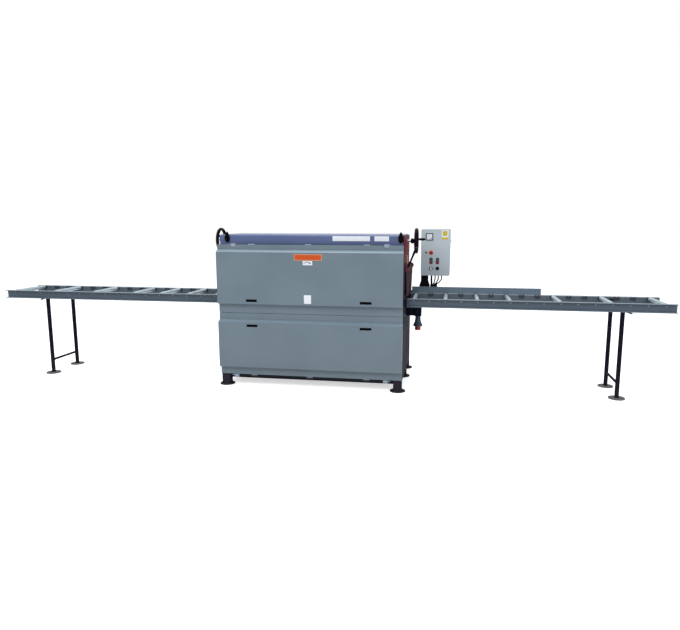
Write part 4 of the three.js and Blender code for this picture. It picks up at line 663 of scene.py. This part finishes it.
def rod(name, start, end, profile, material, sides=24):
    """A turned piece from start to end. The profile gives radii at shares of its length."""
    start = Vector(start)
    reach = Vector(end) - start
    steps = [(radius, share * reach.length) for radius, share in profile]
    turn = reach.to_track_quat("Z", "Y").to_euler()
    return turned(name, steps, "z", start, material, sides, turn)


print("turning helpers ready")

# %% Cut-out and spun pieces
def outlined(name, outline, thick, face, place, material, bevel=0.0006, segments=1):
    """A flat outline, extruded towards the side that it faces."""
    bpy.ops.mesh.primitive_circle_add(vertices=len(outline), radius=0.1, fill_type="NGON")
    piece = bpy.context.object
    for vertex, (u, v) in zip(piece.data.vertices, outline):
        vertex.co = (u, v, 0)
    edit_all()
    bpy.ops.mesh.extrude_region_move(TRANSFORM_OT_translate={"value": (0, 0, thick)})
    face_outward()
    apply_bevel(piece, bevel, segments)
    return settle(piece, name, material, place, turns[face])


def rounded(width, height, radius, steps=4):
    """The outline of a plate with round corners, about its middle."""
    points = []
    corners = ((1, 1, 0), (-1, 1, 1), (-1, -1, 2), (1, -1, 3))
    for side, rise, quarters in corners:
        for index in range(steps + 1):
            u, v = around(90 * (quarters + index / steps), radius)
            points.append((side * (width / 2 - radius) + u, rise * (height / 2 - radius) + v))
    return points


def sheet_plate(name, width, height, thick, place, material, radius):
    """A thin plate that faces the front, with a hair of bevel."""
    return outlined(name, rounded(width, height, radius), thick, "front", place, material, 0.0003)


def block(name, size, place, material, bevel=0.001, segments=2):
    """A solid block with softened edges, about its middle."""
    bpy.ops.mesh.primitive_cube_add(size=1, location=(0, 0, 0))
    piece = bpy.context.object
    piece.scale = size
    bpy.ops.object.transform_apply(scale=True)
    apply_bevel(piece, bevel, segments)
    return settle(piece, name, material, place)


def spun_ring(name, major, minor, flat, place, axis, material, steps=64, sides=14):
    """A small round section spun once about Z, then turned to its axis."""
    bpy.ops.mesh.primitive_circle_add(
        vertices=sides, radius=minor, location=(major, 0, 0), rotation=(quarter, 0, 0)
    )
    piece = bpy.context.object
    bpy.ops.object.transform_apply(location=True, rotation=True)
    edit_all()
    bpy.ops.transform.resize(value=(1, 1, flat))
    bpy.ops.mesh.spin(steps=steps, angle=math.radians(360), center=(0, 0, 0), axis=(0, 0, 1))
    bpy.ops.mesh.select_all(action="SELECT")
    bpy.ops.mesh.remove_doubles(threshold=0.00001)
    face_outward()
    return settle(piece, name, material, place, turns[axis])


print("cutting and spinning helpers ready")

# %% [markdown]
# ## Join, copy and hand over
#
# What repeats is modelled once and copied with its own mesh. Every finished piece then rides on
# the body that carries it, and may stand for a node, which is then hidden.

# %% Join, copy and hand over
def put(piece, body, slot, *replaced):
    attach(piece, body)
    if replaced:
        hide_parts(*replaced)


def copy_of(piece, name, shift):
    twin = piece.copy()
    twin.data = piece.data.copy()
    named(twin, name)
    bpy.context.scene.collection.objects.link(twin)
    twin.data.transform(Matrix.Translation(shift))
    return twin


def joined(pieces, name):
    bpy.ops.object.select_all(action="DESELECT")
    for piece in pieces:
        piece.select_set(True)
    bpy.context.view_layer.objects.active = pieces[0]
    bpy.ops.object.join()
    return named(bpy.context.object, name)


def middle_of(node):
    low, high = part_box(node)
    return (low + high) / 2, high - low


def front_plates(body, slot, plates):
    """Plates by name, width, height, thickness, corner radius, place and finish."""
    for name, width, height, thick, corner, place, finish in plates:
        put(sheet_plate(name, width, height, thick, place, finish, corner), body, slot)


print("hand-over helpers ready")

# %% [markdown]
# ## Table rollers
#
# A conveyor roller is a steel tube with a pressed bearing cap sunk in each end and an axle that
# lies in the rails' saddles. One roller is turned about Y, with its caps as steps of the same
# profile, and copied into every saddle that carries one.

# %% Rollers
roller_middle, roller_size = middle_of("infeed_roller_1")
axle_reach = roller_size.y / 2
tube_reach = axle_reach - 0.0152
tube_radius = roller_size.x / 2
half_profile = [
    (0.0062, -axle_reach),
    (0.0072, -axle_reach + 0.001),
    (0.0072, -tube_reach + 0.002),
    (0.015, -tube_reach + 0.004),
    (0.0168, -tube_reach + 0.0008),
    (tube_radius - 0.002, -tube_reach),
    (tube_radius, -tube_reach + 0.002),
]
roller_profile = half_profile + [(radius, -height) for radius, height in reversed(half_profile)]
first_roller = turned("infeed_roller_1_tube", roller_profile, "y", roller_middle, zinc_plate, 40)
for node in roller_nodes[1:]:
    twin = copy_of(first_roller, f"{node}_tube", middle_of(node)[0] - roller_middle)
    put(twin, node, "zinc", node)
put(first_roller, "infeed_roller_1", "zinc", "infeed_roller_1")
print("roller", round(2 * tube_radius, 4), "by", round(2 * tube_reach, 4))

# %% [markdown]
# ## Table legs
#
# A leg frame is two round tubes, a thin cross bar and a round plate under each tube. The node
# shows the facets of its tubes, so a turned frame stands for it.

# %% Leg frames
leg_radius = 0.0198
foot_radius = 0.0745
foot_reach = 0.075
bar_height = 0.145


def leg_frame(end):
    low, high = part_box(f"{end}_leg_frame")
    middle_x = (low.x + high.x) / 2
    name = f"{end}_leg_frame_tubes"
    ends = (low.y + foot_reach, high.y - foot_reach)
    profile = [
        (foot_radius - 0.0018, 0.0), (foot_radius, 0.0018), (foot_radius, 0.0082),
        (foot_radius - 0.0018, 0.01), (leg_radius + 0.0045, 0.0101), (leg_radius, 0.015),
        (leg_radius, high.z - 0.0015), (leg_radius - 0.0015, high.z),
    ]
    pieces = [
        turned(f"{name}_{index}", profile, "z", (middle_x, y, 0), leg_navy, 40)
        for index, y in enumerate(ends)
    ]
    bar = [(0.0125, 0), (0.0125, 1)]
    near, far = ((middle_x, y, bar_height) for y in ends)
    pieces.append(rod(f"{name}_bar", near, far, bar, leg_navy))
    put(joined(pieces, name), f"{end}_leg_frame", "navy_paint", f"{end}_leg_frame")
    return middle_x, ends


leg_middle, leg_ends = leg_frame("infeed")
leg_frame("outfeed")
print("leg frames at", round(leg_middle, 3), [round(y, 3) for y in leg_ends])

# %% [markdown]
# ## Feet of the machine
#
# Each of the six posts ends in a round steel plate. A turned disc with a softened rim hides the
# coarse facets of the one in the model. A thin dark strip closes the gap between the front feet.

# %% Foot plates
post_x = 0.865
disc_radius = 0.075
post_rows = (-0.4825, 0.1125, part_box("main_frame")[1].y - disc_radius)
foot_places = [(x, y) for x in (-post_x, post_x) for y in post_rows]
foot_profile = [
    (disc_radius - 0.0017, 0.0), (disc_radius, 0.0018),
    (disc_radius, 0.0088), (disc_radius - 0.0017, 0.0103),
]
first_foot = turned("foot_disc_1", foot_profile, "z", (*foot_places[0], 0), foot_navy, 48)
for index, (x, y) in enumerate(foot_places[1:], 2):
    shift = (x - foot_places[0][0], y - foot_places[0][1], 0)
    put(copy_of(first_foot, f"foot_disc_{index}", shift), "machine", "navy_paint")
put(first_foot, "machine", "navy_paint")
front_plates("machine", "navy_paint", [
    ("front_kick_strip", 1.65, 0.02, 0.003, 0.002, (0, -0.455, 0.073), navy),
])
print("feet", len(foot_places))

# %% [markdown]
# ## Handwheels
#
# Each wheel has a round cast rim, a long hub, three tapered spokes and, on the infeed wheel, a
# crank grip. The rim is a small oval spun about the shaft. The hub and grip are turned.

# %% Handwheels
wheel_radius = 0.112
rim_radius = 0.013
wheel_dish = 0.02
shaft_place = Vector((0, -0.1025, 1.436))


def handwheel(node, rim_x, breadth, has_grip):
    side, axis = (1, "x") if rim_x > 0 else (-1, "-x")
    centre = Vector((rim_x, shaft_place.y, shaft_place.z))
    pieces = [spun_ring(f"{node}_rim", wheel_radius, rim_radius, breadth, centre, axis, wheel_black)]
    hub = [
        (0.0205, -0.055), (0.0245, -0.053), (0.025, -0.034), (0.0195, -0.027),
        (0.0215, 0.005), (0.024, 0.008), (0.024, 0.0125), (0.0205, 0.015), (0.012, 0.015),
    ]
    pieces.append(turned(f"{node}_hub", hub, axis, centre, wheel_black, 32))
    taper = [(0.0098, 0), (0.008, 0.5), (0.0092, 1)]
    for index in range(3):
        out = Vector((0, *around(120 * index - 90)))
        start = centre - Vector((side * wheel_dish, 0, 0)) + out * 0.012
        end = centre + out * wheel_radius
        pieces.append(rod(f"{node}_spoke_{index}", start, end, taper, wheel_black))
    if has_grip:
        place = centre + Vector((0, *around(170, wheel_radius)))
        grip = [
            (0.0058, 0.0), (0.0058, 0.0215), (0.009, 0.0235), (0.0108, 0.04),
            (0.0122, 0.062), (0.0112, 0.082), (0.008, 0.0915), (0.004, 0.0935),
        ]
        pieces.append(turned(f"{node}_grip", grip, axis, place, wheel_black, 28))
    put(joined(pieces, f"{node}_cast"), "height_shaft", "black_metal", node)


handwheel("handwheel_infeed", 1.000, 1.27, True)
handwheel("handwheel_outfeed", -1.031, 1.35, False)
print("handwheels", round(2 * (wheel_radius + rim_radius), 3))

# %% [markdown]
# ## Cover stops
#
# The raised cover rests against two leaf-shaped rubber stops. They are cut from an outline with
# soft edges, and each has a round nose.

# %% Cover stops
leaf = [
    (0.0032, 0.0), (0.0125, 0.004), (0.0205, 0.016), (0.024, 0.034), (0.0248, 0.052),
    (0.0215, 0.066), (0.016, 0.08), (0.008, 0.096), (0.0025, 0.104),
]
pad_thick = 0.0116


def cover_stop(node):
    low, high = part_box(node)
    middle_x = (low.x + high.x) / 2
    outline = leaf + [(-u, v) for u, v in reversed(leaf)]
    back = high.y - 0.0004
    place = (middle_x, back, low.z)
    pad = outlined(f"{node}_pad", outline, pad_thick, "front", place, rubber, 0.003, 3)
    nose = turned(
        f"{node}_nose",
        [(0.0118, 0.01), (0.0118, 0.027), (0.01, 0.031), (0.0055, 0.0336)],
        "-y", (middle_x, back, low.z + 0.025), rubber, 28,
    )
    put(joined([pad, nose], f"{node}_rubber"), "machine", "stop_rubber", node)


cover_stop("cover_stop_infeed")
cover_stop("cover_stop_outfeed")
print("cover stops", len(leaf) * 2, "outline points")

# %% [markdown]
# ## Fittings on the infeed end
#
# Small fittings sit on the infeed end plate: an oval scale window, a dark switch block, a
# red-orange grease cap and a slim stay. A turned sleeve with a round tip covers the lever of
# the fingers.

# %% End fittings and lever
end_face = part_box("infeed_end_plate")[0].x + 0.008
cap_profile = [(0.019, 0), (0.019, 0.006), (0.0165, 0.011), (0.01, 0.0135)]
end_plates = (
    ("scale_window", rounded(0.058, 0.094, 0.027, 6), 0.012, -0.205, 1.256, 0.003, 2,
     tan_plastic, "white_plastic"),
    ("limit_switch", rounded(0.064, 0.078, 0.006), 0.014, -0.345, 1.196, 0.002, 2,
     dark_teal, "black_plastic"),
    ("end_stay", rounded(0.016, 0.13, 0.004), 0.007, -0.42, 1.395, 0.0015, 1,
     throat_red, "red_paint"),
)
for name, outline, thick, y, z, bevel, segments, finish, slot in end_plates:
    place = (end_face, y, z)
    fitting = outlined(name, outline, thick, "right", place, finish, bevel, segments)
    put(fitting, "machine", slot)
cap = turned("grease_cap", cap_profile, "x", (end_face, -0.125, 1.388), orange_red, 28)
put(cap, "machine", "red_plastic")
lever_start = Vector((0.94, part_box("kickback_fingers")[0].y + 0.017, 1.185))
lever_lean, lever_length = 22, 0.216
lever_across, lever_up = around(90 - lever_lean, lever_length)
lever_end = lever_start + Vector((lever_across, 0, lever_up))
lever_profile = [
    (0.0095, 0.04), (0.0092, 0.6), (0.0104, 0.62), (0.0116, 0.8), (0.01, 0.97), (0.005, 1.0),
]
lever = rod("release_lever_sleeve", lever_start, lever_end, lever_profile, black_plastic)
put(lever, "kickback_fingers", "black_plastic")
print("lever tip", [round(value, 3) for value in lever_end])

# %% [markdown]
# ## Control box: plates, meter and lamp
#
# The door carries a square panel meter with a dark rim and a white face, a green three-sided
# lamp, and a plain plate with two yellow fields. The meter's rim is an outline whose front face
# is inset and pushed in.

# %% Door plates, meter and lamp
door_front = 0.2282
bezel_front = door_front - 0.004
columns = {"saw": 1.136, "feed": 1.203}
stop_row, button_row, knob_row = 1.305, 1.219, 1.141
meter_place = (1.115, door_front - 0.0071, 1.469)
notice_x, notice_z = 1.274, 1.487


def meter():
    square = rounded(0.074, 0.074, 0.005)
    rim = outlined("meter_rim", square, 0.0024, "front", meter_place, slate, 0.0)
    only(rim)
    bpy.ops.object.mode_set(mode="EDIT")
    bpy.ops.mesh.select_all(action="DESELECT")
    bpy.ops.object.mode_set(mode="OBJECT")
    front = min(rim.data.polygons, key=lambda face: face.center.y)
    front.select = True
    bpy.ops.object.mode_set(mode="EDIT")
    bpy.ops.mesh.inset(thickness=0.0085, depth=0)
    bpy.ops.transform.translate(value=(0, 0.0014, 0))
    bpy.ops.object.mode_set(mode="OBJECT")
    put(rim, "control_door", "black_plastic")
    x, y, z = meter_place
    front_plates("control_door", "white_plastic", [
        ("meter_face", 0.0565, 0.0565, 0.0009, 0.002, (x, y - 0.0009, z), white_plate),
    ])
    marks = []
    hairline = [(0.0005, 0), (0.0005, 1)]
    pivot = Vector((x + 0.016, y - 0.0019, z - 0.017))
    for index in range(7):
        across, up = around(90 + 90 * index / 6)
        out = Vector((across, 0, up))
        near = pivot + out * 0.034
        marks.append(rod(f"mark_{index}", near, near + out * 0.005, hairline, slate, 6))
    across, up = around(150, 0.033)
    needle_end = pivot + Vector((across, 0, up))
    marks.append(rod("needle", pivot, needle_end, [(0.0009, 0), (0.0003, 1)], slate, 6))
    marks.append(turned("pivot", [(0.0055, 0), (0.0055, 0.0006)], "-y", pivot, slate, 20))
    put(joined(marks, "meter_scale"), "control_door", "black_plastic")


meter()
lamp_outline = [(-0.0105, -0.013), (0.0125, 0.0), (-0.0105, 0.013)]
lamp_place = (1.086, door_front - 0.007, stop_row)
ready_lamp = outlined("ready_lamp", lamp_outline, 0.003, "front", lamp_place, lamp_green, 0.0006)
put(ready_lamp, "control_door", "green_plastic")
notice_front = door_front - 0.001
front_plates("control_door", "white_plastic", [
    ("door_notice_plate", 0.072, 0.1, 0.001, 0.003, (notice_x, door_front, notice_z), white_plate),
    ("door_notice_field", 0.046, 0.048, 0.0005, 0.008,
     (notice_x, notice_front, notice_z + 0.016), yellow_plate),
    ("door_notice_strip", 0.068, 0.022, 0.0005, 0.002,
     (notice_x, notice_front, notice_z - 0.036), yellow_plate),
])
print("door front at", door_front)

# %% [markdown]
# ## Inside the control box
#
# With the door open, the switchgear shows on its mounting plate: three contactors with stepped
# sides and a row of terminals. The contactor is one outline, extruded sideways and copied.

# %% Switchgear
plate_front = 0.4125


def switchgear():
    side = [
        (0, -0.037), (0, 0.037), (-0.03, 0.037), (-0.03, 0.026), (-0.056, 0.026), (-0.07, 0.016),
        (-0.07, -0.016), (-0.056, -0.026), (-0.03, -0.026), (-0.03, -0.037),
    ]
    place = (1.08, plate_front, 1.42)
    first = outlined("contactor_1", side, 0.045, "right", place, slate, 0.0012)
    for index in (2, 3):
        shift = (0.064 * (index - 1), 0, 0)
        put(copy_of(first, f"contactor_{index}", shift), "machine", "black_plastic")
    put(first, "machine", "black_plastic")
    side = [
        (0, -0.02), (0, 0.02), (-0.022, 0.02), (-0.022, 0.008), (-0.034, 0.008), (-0.034, -0.02),
    ]
    place = (1.08, plate_front, 1.2)
    first = outlined("terminal_1", side, 0.0092, "right", place, white_plastic, 0.0008)
    row = [copy_of(first, f"terminal_{n}", (0.01 * (n - 1), 0, 0)) for n in range(2, 18)]
    put(joined([first] + row, "terminal_row"), "machine", "white_plastic")


switchgear()
print("mounting plate at", plate_front)

# %% [markdown]
# ## Push-buttons and knobs
#
# The stop button is a turned mushroom on a pale ring. The four plungers are soft-edged blocks in
# dark frames. The two rotary knobs are turned, each with a grip bar across its face.

# %% Buttons and knobs
stop_place = (columns["saw"], 0.243, stop_row)
mushroom = [
    (0.0105, 0.0), (0.0105, 0.019), (0.0168, 0.02), (0.0193, 0.0222), (0.0198, 0.025),
    (0.019, 0.0282), (0.0165, 0.0306), (0.012, 0.0321), (0.005, 0.0327),
]
stop_head = turned("emergency_stop_mushroom", mushroom, "-y", stop_place, red_plastic, 40)
put(stop_head, "emergency_stop", "red_plastic", "emergency_stop")
ring_profile = [(0.0275, 0), (0.0275, 0.001), (0.0268, 0.0014), (0.0125, 0.0014)]
ring_place = (columns["saw"], door_front, stop_row)
stop_ring = turned("stop_ring", ring_profile, "-y", ring_place, pale_ring, 40)
put(stop_ring, "control_door", "white_plastic")
button_finishes = {
    "start": (green_plastic, "green_plastic"),
    "stop": (red_plastic, "red_plastic"),
}
for circuit, x in columns.items():
    front_plates("control_door", "black_plastic", [
        (f"button_frame_{circuit}", 0.0335, 0.0655, 0.0012, 0.008, (x, bezel_front, button_row), slate),
    ])
    for kind, (finish, slot) in button_finishes.items():
        node = f"{kind}_button_{circuit}"
        middle, size = middle_of(node)
        plunger = block(f"{node}_cap", size, middle, finish, 0.0045, 3)
        put(plunger, node, slot, node)


def rotary(node, finish, grip_finish, slot, grip_half):
    middle, size = middle_of(node)
    low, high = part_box(node)
    reach = size.y
    base = (middle.x, high.y, middle.z)
    profile = [
        (0.0105, 0.0), (0.0105, reach - 0.018), (0.0148, reach - 0.0178), (0.0148, reach - 0.0115),
        (0.0138, reach - 0.0092), (0.01, reach - 0.009),
    ]
    knob = turned(f"{node}_body", profile, "-y", base, finish, 36)
    grip_size = (2 * grip_half, 0.0095, 0.0262)
    grip_place = (middle.x, low.y + grip_size[1] / 2, middle.z)
    grip = block(f"{node}_grip", grip_size, grip_place, grip_finish, 0.0016, 2)
    put(knob, node, "black_plastic", node)
    put(grip, node, slot, node)


rotary("selector_switch", slate, white_plastic, "white_plastic", 0.0075)
rotary("speed_knob", black_plastic, black_plastic, "black_plastic", 0.009)
dial_profile = [(0.0185, 0), (0.0185, 0.0006), (0.018, 0.0009), (0.0112, 0.0009)]
for number, x in enumerate(columns.values(), 1):
    dial_place = (x, bezel_front, knob_row)
    dial = turned(f"dial_ring_{number}", dial_profile, "-y", dial_place, slate, 36)
    put(dial, "control_door", "black_plastic")
print("controls ready")

# %% [markdown]
# ## Cables
#
# Four leads drop from glands in the box's bottom and gather in a clamp block on the arm. Each is
# a curve of a fixed length through six points along the model's route, so it hangs where the
# node hung. A cable has no plug here: both ends go back into the machine.

# %% Cables
cable_y = 0.3385
gland_top = 1.0647
gland_low = 1.0507
clamp_top = 0.962


def smooth_route(points, steps=6):
    """A soft line through all the points. Each stretch also looks at its two neighbours."""
    route = []
    padded = [points[0]] + points + [points[-1]]
    for index in range(1, len(padded) - 2):
        a, b, c, d = padded[index - 1:index + 3]
        for step in range(steps):
            t = step / steps
            route.append(0.5 * (2 * b + (c - a) * t + (2 * a - 5 * b + 4 * c - d) * t * t
                                + (3 * b - a - 3 * c + d) * t * t * t))
    return route + [points[-1]]


def cable(index, x, end_x, radius):
    middle_z = (gland_low + clamp_top) / 2
    points = [
        (x, gland_low + 0.008), (x, middle_z + 0.012), (x - 0.15 * (x - end_x), middle_z),
        ((x + end_x) / 2, middle_z - 0.026), (end_x, clamp_top - 0.002), (end_x, clamp_top - 0.028),
    ]
    route = smooth_route([Vector((across, cable_y, up)) for across, up in points])
    data = bpy.data.curves.new(f"control_cable_{index}", "CURVE")
    data.dimensions = "3D"
    spline = data.splines.new("POLY")
    spline.points.add(len(route) - 1)
    for point, place in zip(spline.points, route):
        point.co = (*place, 1)
    data.bevel_depth = radius
    data.bevel_resolution = 5
    data.use_fill_caps = True
    lead = linked(f"control_cable_{index}", data)
    data.materials.append(cable_sheath)
    length = sum((b - a).length for a, b in zip(route, route[1:]))
    put(lead, "machine", "cable_black", "control_cables")
    gland = [
        (0.0135, 0.0), (0.0135, 0.0055), (0.0105, 0.006), (0.0105, 0.009),
        (radius + 0.0012, 0.0135),
    ]
    nut = turned(f"cable_gland_{index}", gland, "-z", (x, cable_y, gland_top), black_plastic, 6)
    put(nut, "machine", "black_plastic", "control_cables")
    return length


cable_ends = (
    (1.14, 1.1428, 0.01), (1.178, 1.1576, 0.0065), (1.211, 1.1724, 0.0065), (1.246, 1.1872, 0.006),
)
lengths = [cable(index, *values) for index, values in enumerate(cable_ends, 1)]
clamp_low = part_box("control_cables")[0].z
clamp = block("cable_clamp_block", (0.074, 0.0595, clamp_top - clamp_low),
              (1.165, 0.33825, (clamp_top + clamp_low) / 2), black_plastic, 0.004, 3)
put(clamp, "machine", "black_plastic", "control_cables")
print("cables", [round(length, 3) for length in lengths])

# %% [markdown]
# ## Power inlet
#
# The junction box has a flat lid. Below it hangs an appliance inlet: a neck that widens to a
# bell, and a red end with a socket in its lower face. The neck, bell and end are turned, and the
# socket is the start of the red end's profile.

# %% Power inlet
inlet = Vector((1.018, 0.0895, 0.0))
box_low, box_high, bell_z, end_z = 0.656, 0.768, 0.566, 0.508


def power_inlet():
    low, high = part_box("power_inlet")
    bracket_end = inlet.x - 0.03
    height = box_high - box_low
    z = (box_low + box_high) / 2
    body = block("inlet_box", (0.072, 0.072, height), (inlet.x, inlet.y, z), inlet_navy, 0.004, 3)
    arm = block("inlet_bracket", (bracket_end - low.x, 0.036, height - 0.004),
                ((bracket_end + low.x) / 2, inlet.y, z), inlet_navy, 0.002)
    lid_place = (inlet.x, inlet.y - 0.036, z)
    lid = sheet_plate("inlet_lid", 0.062, 0.1, 0.0018, lid_place, inlet_navy, 0.006)
    put(joined([body, arm, lid], "inlet_junction_box"), "machine", "inlet_grey", "power_inlet")
    bell = [
        (0.03, end_z + 0.04), (0.031, end_z + 0.042), (0.044, bell_z - 0.0175),
        (0.0485, bell_z - 0.016), (0.05, bell_z - 0.012), (0.0495, bell_z - 0.004),
        (0.044, bell_z + 0.006), (0.035, bell_z + 0.026), (0.03, bell_z + 0.048),
        (0.0285, bell_z + 0.068), (0.0285, box_low + 0.002),
    ]
    shell = turned("inlet_bell", bell, "z", (inlet.x, inlet.y, 0), inlet_grey, 48)
    put(shell, "machine", "inlet_grey", "power_inlet")
    end = [
        (0.02, end_z + 0.028), (0.0235, end_z + 0.0275), (0.024, end_z), (0.0295, end_z),
        (0.031, end_z + 0.002), (0.031, end_z + 0.04), (0.029, end_z + 0.042),
    ]
    socket = turned("inlet_red_end", end, "z", (inlet.x, inlet.y, 0), inlet_red, 44)
    put(socket, "machine", "red_plastic", "power_inlet")


power_inlet()
print("inlet down to", end_z)

# %% [markdown]
# ## Plates on the covers and the top beam
#
# The real machine carries enamel plates. Here they are plain: an orange one with a raised rim, a
# white one with an arrow for the way the saws turn, a small white one, and two white ones on the
# top beam. They are thin rounded outlines that lie on the sheet. A black plate behind each finger
# slot is painted shade, so that the slots look dark from the front.

# %% Plates and arrow
cover_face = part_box("upper_cover")[0].y
hood_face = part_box("top_hood")[0].y
on_plate = cover_face - 0.001
front_plates("upper_cover", "white_plastic", [
    ("orange_plate", 0.272, 0.06, 0.001, 0.003, (0.007, cover_face, 1.2905), orange_edge),
    ("orange_plate_field", 0.256, 0.045, 0.0004, 0.003, (0.007, on_plate, 1.2905), orange_plate),
    ("arrow_plate", 0.094, 0.04, 0.001, 0.003, (0.0035, cover_face, 1.2365), white_plate),
    ("small_sign", 0.07, 0.083, 0.001, 0.003, (0.0, cover_face, 0.889), white_plate),
])


def turn_arrow():
    arc = []
    for radius, order in ((0.058, 1), (0.0535, -1)):
        arc += [around(127 - 62 * step / 12, radius) for step in range(13)][::order]
    place = (0.0, on_plate, 1.1885)
    bow = outlined("arrow_bow", arc, 0.0004, "front", place, slate, 0)
    tip_u, tip_v = around(62, 0.0558)
    corners = ((-0.005, 0.0085), (-0.0085, -0.0075), (0.0125, -0.005))
    head = [(tip_u + u, tip_v + v) for u, v in corners]
    point = outlined("arrow_head", head, 0.0004, "front", place, slate, 0)
    put(joined([bow, point], "turn_arrow"), "upper_cover", "black_plastic")


turn_arrow()
front_plates("machine", "white_plastic", [
    (f"beam_plate_{number}", right - left, 0.046, 0.001, 0.003,
     ((left + right) / 2, hood_face, 1.4655), white_plate)
    for number, (left, right) in enumerate(((0.227, 0.586), (0.629, 0.766)), 1)
])
# Black plates behind the finger slots are painted shade, so the slots look dark.
slot_shade_y = cover_face + 0.0135
slot_x = 0.562
for cover, slot_z in (("upper_cover", 0.865), ("lower_cover", 0.617)):
    front_plates(cover, "black_plastic", [
        (f"{cover}_slot_shade_{side}", 0.117, 0.031, 0.0015, 0.003, (x, slot_shade_y, slot_z), rubber)
        for side, x in (("outfeed", -slot_x), ("infeed", slot_x))
    ])
print("plates on", round(cover_face, 4), round(hood_face, 4))

# %% [markdown]
# ## Bolts and latch
#
# A hex bolt is a six-sided turned piece with a washer under it and a chamfered crown. One bolt is
# copied to every saddle along the near and far rails. A round latch sits on the infeed end of
# the base.

# %% Bolts and latch
rail_web = 0.2425
slot_first, slot_step, slot_count = 1.0, 0.15, 16
bolt_profile = [(0.0072, 0), (0.0072, 0.0044), (0.0058, 0.0052)]
washer_profile = [(0.0095, 0), (0.0095, 0.001), (0.0091, 0.0013)]
bolt_z = 0.879
washer_thick = 0.0012


def bolt(name, axis, place, outward):
    washer = turned(f"{name}_washer", washer_profile, axis, place, bolt_zinc, 16)
    head_place = Vector(place) + Vector(outward) * washer_thick
    head = turned(f"{name}_head", bolt_profile, axis, head_place, bolt_zinc, 6)
    return joined([washer, head], name)


near = bolt("saddle_bolt", "-y", (slot_first, table_middle_y - rail_web, bolt_z), (0, -1, 0))
far = bolt("saddle_bolt_far", "y", (slot_first, table_middle_y + rail_web, bolt_z), (0, 1, 0))
for label, source in (("near", near), ("far", far)):
    copies = []
    for side in (-1, 1):
        for index in range(slot_count):
            shift = (side * (slot_first + slot_step * index) - slot_first, 0, 0)
            copies.append(copy_of(source, f"{label}_{side}_{index}", shift))
    bpy.data.objects.remove(source)
    put(joined(copies, f"saddle_bolts_{label}"), "machine", "zinc")
latch_profile = [(0.0165, 0), (0.0165, 0.003), (0.015, 0.0048), (0.0105, 0.0052), (0.01, 0.004)]
side_face = 0.905
latch_place = (side_face, -0.285, 0.72)
latch = turned("side_latch_infeed_ring", latch_profile, "x", latch_place, bolt_zinc, 32)
put(latch, "machine", "zinc")
print("bolts", 2 * slot_count * 2)

# %% [markdown]
# ## Finish

# %% Finish
bpy.context.view_layer.update()
